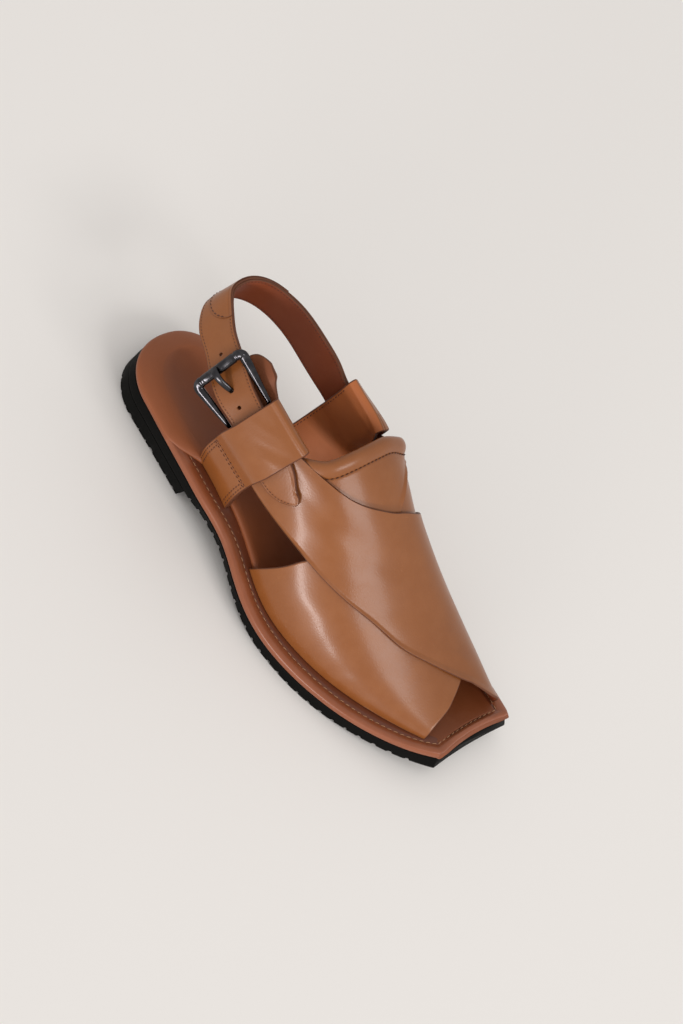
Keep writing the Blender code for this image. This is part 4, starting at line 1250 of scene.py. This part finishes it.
loopLook = {
    "outer_side_loop": {
        "node": "side_loop_outer",
        "inner": False,
        "rear": (72.0, 72.5),
        "front": (104.0, 106.0),
        "top": (89.5, 86.0),
        "plies": (-0.7, 6.9),
        "part": (46.0, 62.0),
        "left": 0.9,
        "bulge": 0.0,
        "bulgeFrom": (60.0, 60.0),
        "swell": 2.4,
        "bow": 2.2,
        "footIn": 3.0,
        "seamHeight": 49.8,
    },
    "inner_side_loop": {
        "node": "side_loop_inner",
        "inner": True,
        "rear": (78.5, 80.5),
        "front": (110.0, 113.5),
        "top": (91.8, 90.6),
        "plies": (-2.4, 4.2),
        "part": (46.0, 58.0),
        "left": 0.4,
        "bulge": 1.5,
        "bulgeFrom": (61.0, 46.0),
        "swell": 0.0,
        "bow": 0.0,
        "footIn": 0.0,
        "seamHeight": 44.8,
    },
}
loopThickness = 1.8
loopWidth = 33.0
foldClose = 3.5  # height over which the plies close towards the fold
foldHeight = 0.62  # height of the fold for each mm of its half width
swellHeights = (54.0, 68.0, 70.0)  # where the outer ply starts to swell, is full and starts to draw in
footHeight = 18  # height over which a loop's foot is drawn in
loopInsets = (1.8, 3.9)  # rows of stitches inside the side edges
loopDrops = (0.0, 2.2)  # and below the seam's height
innerLean = {"heights": (50.0, 78.0), "rear": 3.0, "front": 3.8, "from": 79.0, "to": 111.0}

# Soft creases in the outer loop: share along it, height, degrees, half length, half width, depth
loopFolds = (
    (0.62, 76.0, 24, 13, 1.6, -0.3),
    (0.75, 72.5, 30, 10, 1.5, 0.28),
    (0.35, 80.5, 16, 10, 1.8, 0.25),
)


def leanAt(station, height):  # how far the inner loop and the strap in it lean over the foot
    look = innerLean
    share = np.clip((station - look["from"]) / (look["to"] - look["from"]), 0, 1)
    return smooth(*look["heights"], height) * (look["rear"] + (look["front"] - look["rear"]) * share)


def shareOf(pair, share):
    return pair[0] + (pair[1] - pair[0]) * share


# Middle of the folded band: along its width, and step by step up the outside and down the inside
def loopGrid(look, along, step, flights, fold):
    innerCentre, outerCentre = [ply + loopThickness / 2 for ply in look["plies"]]
    closedCentre = innerCentre + loopThickness + shoe["gap"]
    up = step <= flights
    down = step >= flights + fold
    share = np.where(up, step / flights, np.where(down, (2 * flights + fold - step) / flights, 1.0))
    turn = np.where(up | down, 0.0, math.pi * (step - flights) / fold)
    ply = np.where(up, 1.0, np.where(down, 0.0, (1 + np.cos(turn)) / 2))
    rear, front = shareOf(look["rear"], share), shareOf(look["front"], share)
    station = rear + (front - rear) * along - look["bow"] * np.sin(math.pi * np.minimum(share / 0.7, 1))
    base = seatHeight(station) + shoe["midsole"] + shoe["gap"]
    top = shareOf(look["top"], along)
    height = base + (top - base) * share
    opened = smooth(*look["part"], height)
    opened = opened * (1 - (1 - look["left"]) * smooth(0, 1, (height - top) / foldClose + 1))
    outer = closedCentre + (outerCentre - closedCentre) * opened
    rounded = smooth(0, 1, (height - shareOf(look["bulgeFrom"], along)) / 9.0)
    rounded = rounded * (1 - smooth(0, 1, (height - top + 6) / 6.0)) * (1 - smooth(0.75, 1.0, along))
    lift = innerCentre + (outer - innerCentre) * ply - look["bulge"] * (1 - ply) * rounded
    start, full, end = swellHeights
    lift = lift + look["swell"] * ply * smooth(start, full, height) * (1 - smooth(end, top, height))
    lift = lift - look["footIn"] * (1 - along) * (1 - smooth(0, footHeight, height - base))
    if look["inner"]:
        lift = lift - leanAt(station, height)
    else:
        for middle, middleHeight, degrees, halfLength, halfWidth, depth in loopFolds:
            aside = (along - middle) * loopWidth
            crease = ripple(aside, height - middleHeight, degrees, halfLength, halfWidth)
            lift = lift + depth * ply * crease
    grid = lastPoint(station, girthAt(station, height, look["inner"]), lift)
    grid[..., 2] += foldHeight * (outer - innerCentre) / 2 * np.sin(turn) * mm
    return grid, height


def buildLoop(name, look):
    flights = 44
    fold = 14
    total = 2 * flights + fold
    along, step = np.meshgrid(np.linspace(0, 1, 40), np.arange(total + 1.0), indexing="ij")
    grid, height = loopGrid(look, along, step, flights, fold)
    fromSides = np.minimum(*fromEdges(grid)[:2])
    beside = np.minimum.reduce([np.abs(fromSides - inset) for inset in loopInsets])
    beside = np.where(height < look["seamHeight"] + 1, beside, noSeam)
    below = [np.abs(height - look["seamHeight"] + drop) for drop in loopDrops]
    seam = np.where(step <= flights, np.minimum.reduce([beside, *below]), noSeam)
    sheet = leatherSheet(name, grid, loopThickness, look["inner"], [*hide, paintedLightLoopTan], seam)
    if look["inner"]:  # the inside of the inner loop gets a brighter copy of the tan leather: painted light against the shade inside the loop
        polygons = sheet["object"].data.polygons
        indexes = np.zeros(len(polygons), np.int32)
        polygons.foreach_get("material_index", indexes)
        inside = ((step[:-1, :-1] + step[1:, 1:]) / 2 > flights + 5).ravel()
        indexes[: len(inside)][inside] = len(hide)
        polygons.foreach_set("material_index", indexes)
    finishPiece(sheet["object"], "tan_leather", look["node"])
    outside = height[len(height) // 2, : flights + 1]
    lines = np.linspace(1.5, 37.5, 60)
    columns = [np.interp(look["seamHeight"] - drop, outside, np.arange(flights + 1)) for drop in loopDrops]
    rows = [onSheet(sheet, lines, np.full(len(lines), column)) for column in columns]
    for edge in ("start", "end"):
        rows += [rowInside(sheet, edge, inset, 0.02, columns[0] / total) for inset in loopInsets]
    if look["inner"]:
        rows.append(rowInside(sheet, "start", loopInsets[0], (flights + fold + 3) / total, 0.98))
    stitches(name + "_stitches", rows, upperStitch, darkThread)


for name, look in loopLook.items():
    buildLoop(name, look)
print("side loops built")


# Lower edge, then upper edge, each as station, across, height
strapFreeTable = (
    (71.0, -33.2, 66.0, 71.0, -25.0, 85.5),
    (60.5, -32.2, 66.5, 61.5, -22.5, 86.0),
    (49.5, -29.3, 67.0, 51.5, -18.5, 86.5),
    (38.0, -22.5, 67.0, 38.0, -11.8, 86.0),
    (27.0, -15.5, 66.5, 27.0, -6.0, 85.5),
    (16.2, -9.5, 66.0, 17.0, 2.0, 85.0),
    (8.0, -1.5, 66.0, 10.0, 7.0, 86.0),
    (3.0, 6.0, 66.5, 5.5, 12.0, 87.0),
    (1.5, 13.0, 67.0, 3.8, 18.0, 87.5),
    (2.5, 20.5, 67.5, 4.0, 24.5, 88.0),
    (6.5, 27.5, 68.0, 6.8, 31.0, 88.5),
    (13.0, 33.0, 68.0, 13.0, 36.3, 89.0),
    (21.0, 36.2, 68.0, 21.5, 39.2, 89.5),
    (31.0, 37.5, 68.0, 31.5, 40.5, 90.0),
    (43.0, 37.2, 67.5, 44.0, 40.0, 90.0),
    (56.0, 35.2, 67.0, 57.0, 39.0, 89.0),
    (68.0, 33.8, 66.2, 68.0, 38.0, 87.2),
)

# Under the outer loop and on to the tip: station, lower height, upper height
strapTipTable = (
    (125.6, 68.0, 69.2),
    (124.0, 66.5, 71.0),
    (120.0, 63.5, 72.8),
    (113.5, 61.0, 76.2),
    (106.0, 60.5, 79.2),
    (94.0, 61.5, 81.5),
    (82.0, 62.6, 82.6),
)

# Under the inner loop
strapInnerTable = (
    (77.5, 63.6, 85.8),
    (86.0, 61.8, 84.9),
    (94.5, 61.4, 84.0),
)
strapLook = {
    "tipLift": 3.9,
    "innerLift": 0.4,
    "thickness": 2.6,
    "outerPly": 1.4,
    "liningTrim": 0.15,  # how much the lining is cut back round its edge
    "stitchInset": 1.7,
    "holes": ((60.9, -1.6, 1.1), (71.1, -1.2, 1.6), (92.2, -1.0, 1.1)),  # run, side, radius
}


def strapRows(table, lift, inner):
    rows = []
    for station, low, high in table:
        heights = np.array([low, (low + high) / 2, high])
        raised = lift + strapLook["thickness"] - (leanAt(station, heights) if inner else 0.0)
        rows.append(lastPoint(station, girthAt(station, heights, inner), raised))
    return rows


def findStrapLines():
    rows = strapRows(strapTipTable, strapLook["tipLift"], False)
    for row in strapFreeTable:
        low, high = place(*row[:3]), place(*row[3:])
        rows.append(np.array([low, (low + high) / 2, high]))
    rows += strapRows(strapInnerTable, strapLook["innerLift"], True)
    lower, middle, upper = np.array(rows).transpose(1, 0, 2)
    return arcs(middle, 0), lower, middle, upper


strapLines = findStrapLines()


# Run along the strap from its tip, side from its middle line towards its upper edge, depth inwards
def strapPoint(run, side, depth):
    marks, *edges = strapLines
    run, side, depth = (np.asarray(value, float) for value in np.broadcast_arrays(run, side, depth))

    def line(points, at):
        table = np.column_stack([marks, points])
        return np.stack([spline(table, k, at) for k in (1, 2, 3)], -1)

    low, middle, high = [line(points, run) for points in edges]
    along = line(edges[1], run + 1) - line(edges[1], run - 1)
    across = high - low
    width = np.linalg.norm(across, axis=-1, keepdims=True)
    outward = unit(np.cross(across, along))
    share = 2 * side[..., None] * mm / width
    curve = (low + high) / 2 - middle
    return middle + across / 2 * share + curve * np.minimum(share**2, 1) - outward * depth[..., None] * mm


def strapHalfWidth(run):
    marks, lower, _, upper = strapLines
    halves = np.linalg.norm(upper - lower, axis=1) / 2 / mm
    return spline(np.column_stack([marks, halves]), 1, run)


def strapSheet(name, depth, thickness, trim, *nodes):
    u, v = np.meshgrid(np.linspace(0, 1, 300), np.linspace(-1, 1, 22), indexing="ij")
    run = trim + u * (strapLines[0][-1] - trim)
    wave = 0.06 * np.sin(run / 7.0) * np.sin(run / 19.0 + 1)
    grid = strapPoint(run, (strapHalfWidth(run) - trim) * v, depth + wave)
    seam = np.abs(np.minimum(*fromEdges(grid)[2:]) - strapLook["stitchInset"] + trim)
    sheet = leatherSheet(name, grid, thickness, True, hide, seam)
    punchHoles(sheet["object"])
    finishPiece(sheet["object"], "tan_leather", *nodes)
    return sheet


def punchHoles(made):
    for run, side, radius in strapLook["holes"]:
        ends = [Vector(strapPoint(run, side, depth)) for depth in (-3.0, 6.0)]
        way = ends[1] - ends[0]
        bpy.ops.mesh.primitive_cylinder_add(vertices=28, radius=radius * mm, depth=way.length)
        cutter = bpy.context.object
        turned = way.to_track_quat("Z", "Y").to_matrix().to_4x4()
        cutter.matrix_world = Matrix.Translation((ends[0] + ends[1]) / 2) @ turned
        bpy.context.view_layer.update()
        cut = made.modifiers.new("punched hole", "BOOLEAN")
        cut.operation = "DIFFERENCE"
        cut.solver = "EXACT"
        cut.object = cutter
        graph = bpy.context.evaluated_depsgraph_get()
        mesh = bpy.data.meshes.new_from_object(made.evaluated_get(graph))
        made.modifiers.clear()
        made.data = mesh
        bpy.data.objects.remove(cutter, do_unlink=True)


def buildStrap():
    ply = strapLook["outerPly"]
    inner = strapLook["thickness"] - ply
    trim = strapLook["liningTrim"]
    inset = strapLook["stitchInset"]
    outer = strapSheet("strap_outer", ply / 2, ply, 0.0, "back_strap")
    back = strapSheet("strap_lining", ply + inner / 2, inner, trim)
    rows = [rowInside(outer, "low", inset, 0.012, 0.985), rowInside(outer, "high", inset, 0.1, 0.985)]
    rows += [rowInside(back, edge, inset - trim, 0.03, 0.96, -1) for edge in ("low", "high")]
    stitches("strap_stitches", rows, strapStitch, darkThread)


# A half oval with its straight side on the strap's upper edge
overlayLook = {
    "middle": 138.0,
    "reach": 29.0,
    "drop": 1.7,  # how far down it comes, in half widths of the strap
    "thickness": 0.5,
    "stitch": 1.5,
}


def buildHeelOverlay():
    look = overlayLook
    turn, v = np.meshgrid(np.linspace(-1.52, 1.52, 150), np.linspace(0, 1, 40), indexing="ij")
    run = look["middle"] + look["reach"] * np.sin(turn)
    side = (1 - look["drop"] * np.cos(turn) * (1 - v)) * (strapHalfWidth(run) - 0.1)
    grid = strapPoint(run, side, -look["thickness"] / 2 - 0.05)
    seam = np.abs(np.minimum.reduce(fromEdges(grid)) - look["stitch"])
    sheet = leatherSheet("heel_overlay", grid, look["thickness"], True, hide, seam)
    finishPiece(sheet["object"], "tan_leather")
    stitches("overlay_stitches", [rowInside(sheet, "low", look["stitch"], 0.1, 0.9)], upperStitch, darkThread)


# Run, depth of its middle, side of its middle, half width
shieldTable = (
    (45.0, 9.3, 1.0, 11.5),
    (51.0, 9.8, 1.5, 12.8),
    (58.0, 10.4, 2.5, 14.6),
    (65.0, 9.4, 3.6, 17.0),
    (72.0, 8.4, 4.4, 18.4),
    (86.5, 7.6, 4.6, 18.0),
)
shieldThickness = 2.0


def buildShield():
    u, v = np.meshgrid(np.linspace(0, 1, 80), np.linspace(0, 1, 70), indexing="ij")
    run, depth, middle, half = columnsAt(shieldTable, u * (len(shieldTable) - 1))
    grid = strapPoint(run - 10.0 * u**3 * np.abs(2 * v - 1) ** 4, middle + (2 * v - 1) * half, depth)
    faces = [shieldLeather, shieldLeather, cutEdge]
    sheet = leatherSheet("buckle_shield_leather", grid, shieldThickness, True, faces)
    finishPiece(sheet["object"], "insole_leather", "buckle_shield")


buildStrap()
buildHeelOverlay()
buildShield()
print("heel strap built")


buckleLook = {
    "outerRun": 82.0,
    "outerDepth": -4.6,
    "outerRadius": 2.8,
    "legWidths": (1.0, 2.9),  # half widths at the loop and at the outer bar
    "legHeights": (1.0, 1.9),
    "baseRun": 54.6,
    "baseDepth": 5.9,
    "baseRadius": 0.9,
    "corners": (  # which bar, run along from it, side, rounding
        ("base", 0.0, 12.6, 1.6),
        ("outer", 2.2, 13.3, 3.6),
        ("outer", -0.9, -17.4, 3.6),
        ("base", 0.0, -15.0, 1.6),
    ),
    "grooves": 10.8,  # how far from the bar's middle its two grooves are
    "groove": 0.45,
    "prongRadius": 1.1,
    "prongHole": 70.6,
    "prongWidths": (1.3, 1.8, 2.1),  # half widths in the hole, above it and on the bar
}


# A bar swept along points, half as wide as the first size and half as high as the second
def sweepBar(name, points, outward, sizes, squareness, sides, closed):
    if closed:
        way = unit(np.roll(points, -1, 0) - np.roll(points, 1, 0))
    else:
        way = unit(np.gradient(points, axis=0))
    first = unit(np.cross(way, outward))
    second = unit(np.cross(first, way))
    turns = np.arange(sides) * 2 * math.pi / sides
    a, b = [np.sign(part) * np.abs(part) ** (2 / squareness) for part in (np.cos(turns), np.sin(turns))]
    wide = first[:, None] * a[:, None] * sizes[:, None, :1]
    high = second[:, None] * b[:, None] * sizes[:, None, 1:]
    rings = points[:, None] + (wide + high) * mm
    faces = tubeFaces(len(points), sides, closed)
    if not closed:
        faces.append(list(range(sides))[::-1])
        faces.append(list(range((len(points) - 1) * sides, len(points) * sides)))
    return faceOutwards(addMesh(name, rings.reshape(-1, 3), faces, [gunmetal]))


def roundedPath(corners, radius):  # a closed path with its corners rounded off
    path = []
    for k, corner in enumerate(corners):
        following = (k + 1) % len(corners)
        after = corners[following]
        start = corner + unit(corners[k - 1] - corner) * radius[k]
        end = corner + unit(after - corner) * radius[k]
        nextStart = after + unit(corner - after) * radius[following]
        for share in np.linspace(0, 1, 13):
            path.append((1 - share) ** 2 * start + 2 * share * (1 - share) * corner + share**2 * end)
        for share in np.linspace(0, 1, 27)[1:-1]:
            path.append(end + (nextStart - end) * share)
    return np.array(path)


def buildBuckleFrame():
    look = buckleLook
    corners = []
    for bar, run, side, _ in look["corners"]:
        corners.append(strapPoint(look[bar + "Run"] + run, side, look[bar + "Depth"]))
    points = roundedPath(corners, [rounding * mm for *_, rounding in look["corners"]])
    base = (corners[0] + corners[3]) / 2
    bar = (corners[1] + corners[2]) / 2
    length = np.linalg.norm(bar - base)
    share = np.clip(((points - base) @ ((bar - base) / length)) / length, 0, 1)
    side = (points - bar) @ unit(corners[1] - corners[2]) / mm
    outward = unit(np.cross(corners[1] - corners[2], bar - base))
    outward = outward * np.sign(outward @ (strapPoint(70.0, 0.0, -1.0) - strapPoint(70.0, 0.0, 0.0)))
    onBar = smooth(0.955, 0.985, share)
    onBase = 1 - smooth(0.015, 0.04, share)
    grooves = look["groove"] * (1 - smooth(0.2, 0.6, np.abs(np.abs(side) - look["grooves"]))) * onBar
    sizes = []
    for leg, flatness in (("legWidths", 1.0), ("legHeights", 0.92)):
        size = shareOf(look[leg], share**0.8)
        size = size + (look["outerRadius"] * flatness - size) * onBar - grooves
        sizes.append(size + (look["baseRadius"] - size) * onBase)
    made = sweepBar("buckle_frame_bar", points, outward, np.stack(sizes, -1), 2.3, 32, True)
    finishPiece(made, "gunmetal", "buckle_frame")


def buildBuckleProng():
    look = buckleLook
    wrapRadius = look["baseRadius"] + shoe["gap"] + look["prongRadius"]
    turns = 2 * math.pi * (0.15 + 0.7 * np.arange(15) / 14)
    path = np.stack([np.cos(turns), np.zeros(15), np.sin(turns)], -1) * wrapRadius
    path = path + (look["baseRun"], 0.0, look["baseDepth"])
    rest = look["outerDepth"] - look["outerRadius"] - 1.0
    hole = look["prongHole"]
    thick = strapLook["thickness"]
    knots = (
        path[-1],
        (hole - 2.6, 0.0, thick + 2.0),
        (hole - 0.8, -0.6, thick + 0.4),
        (hole + 0.3, -1.1, -0.3),
        (hole + 2.6, -1.7, -2.9),
        (look["outerRun"] - 5.0, -2.7, rest + 1.5),
        (look["outerRun"] - 0.6, -3.4, rest + 0.1),
        (look["outerRun"] + 1.8, -3.8, rest + 1.4),
    )
    tongue = np.stack(columnsAt(knots, np.linspace(0, len(knots) - 1, 70)[1:]), -1)
    path = np.concatenate([path, tongue])
    run = path[:, 0]
    points = strapPoint(*path.T)
    way = unit(np.gradient(points, axis=0))
    across = unit(strapPoint(70.0, 1.0, 0.0) - strapPoint(70.0, -1.0, 0.0))
    outward = unit(np.cross(across, way))
    inHole, above, onBar = look["prongWidths"]
    wide = inHole + (above - inHole) * smooth(hole - 0.5, hole + 2.5, run)
    wide = wide + (onBar - above) * smooth(hole + 4, look["outerRun"] - 2, run)
    sizes = np.stack([wide, 1.0 + 0.25 * smooth(hole, hole + 3, run)], -1)
    sizes[:16] = look["prongRadius"]
    sizes = sizes * (0.3 + 0.7 * np.sqrt(smooth(0, 6, np.arange(len(path))[::-1])))[:, None]
    made = sweepBar("buckle_prong_bar", points, outward, sizes, 2.4, 24, False)
    finishPiece(made, "gunmetal", "buckle_prong")


buildBuckleFrame()
buildBuckleProng()
print("buckle built")


cameraLook = {
    "aim": (-0.00026, 0.00932, 0.030),
    "azimuth": -3.2252,
    "elevation": 49.8158,
    "roll": 53.4370,
    "distance": 1.4932,
    "lens": 95.68,
    "shift": (0.01353, 0.02565),
}


def makeCamera():
    look = cameraLook
    a, e, roll = [math.radians(look[key]) for key in ("azimuth", "elevation", "roll")]
    back = Vector((math.sin(a) * math.cos(e), -math.cos(a) * math.cos(e), math.sin(e)))
    level = Vector((math.cos(a), math.sin(a), 0))
    rise = back.cross(level)
    right = level * math.cos(roll) + rise * math.sin(roll)
    up = rise * math.cos(roll) - level * math.sin(roll)
    data = bpy.data.cameras.new("camera")
    data.sensor_fit = "VERTICAL"
    data.sensor_height = 36
    data.lens = look["lens"]
    data.shift_x, data.shift_y = look["shift"]
    made = bpy.data.objects.new("camera", data)
    bpy.context.scene.collection.objects.link(made)
    matrix = Matrix((right, up, back)).transposed().to_4x4()
    matrix.translation = Vector(look["aim"]) + back * look["distance"]
    made.matrix_world = matrix
    bpy.context.scene.camera = made


# Soft lights far from the shoe: direction towards the light, width and height, power, colour
lightLook = {
    "side": ((0.2, -0.97, 0.06), 2.6, 0.5, 118.0, (1.0, 0.96, 0.95)),
    "front": ((0.72, -0.2, 0.66), 2.5, 1.3, 67.0, (1.0, 0.985, 0.97)),
}
lightDistance = 4.95
skyLook = {"Color": (1.0, 0.98, 0.96, 1), "Strength": 0.71}


def makeLights():
    aim = Vector(cameraLook["aim"])
    for name, (way, width, height, power, colour) in lightLook.items():
        data = bpy.data.lights.new(name, "AREA")
        data.shape = "RECTANGLE"
        data.size = width
        data.size_y = height
        data.energy = power
        data.color = colour
        made = bpy.data.objects.new(name, data)
        made.location = aim + Vector(way).normalized() * lightDistance
        made.rotation_euler = (aim - made.location).to_track_quat("-Z", "Y").to_euler()
        bpy.context.scene.collection.objects.link(made)
    world = bpy.data.worlds.new("studio")
    world.use_nodes = True
    for key, value in skyLook.items():
        world.node_tree.nodes["Background"].inputs[key].default_value = value
    bpy.context.scene.world = world


floorLook = {"size": 3.0, "colour": (0.87, 0.845, 0.82, 1), "pale": (0.88, 0.855, 0.83, 1), "rough": 0.95}


def makeFloor():
    look = floorLook
    size = look["size"]
    points = [(-size, -size, 0), (size, -size, 0), (size, size, 0), (-size, size, 0)]
    made, tree, vector = startMaterial("floorPaper")
    colour = mixColour(tree, noise(tree, vector, 3.0), look["colour"], look["pale"])
    values = {"Base Color": colour, "Roughness": look["rough"], "Specular IOR Level": 0.1}
    floor = addMesh("floor", points, [(0, 1, 2, 3)], [finishMaterial(made, values)])


makeCamera()
makeLights()
makeFloor()
bpy.context.scene.view_settings.view_transform = "Standard"
print("camera, lights and floor made")

bpy.context.view_layer.update()
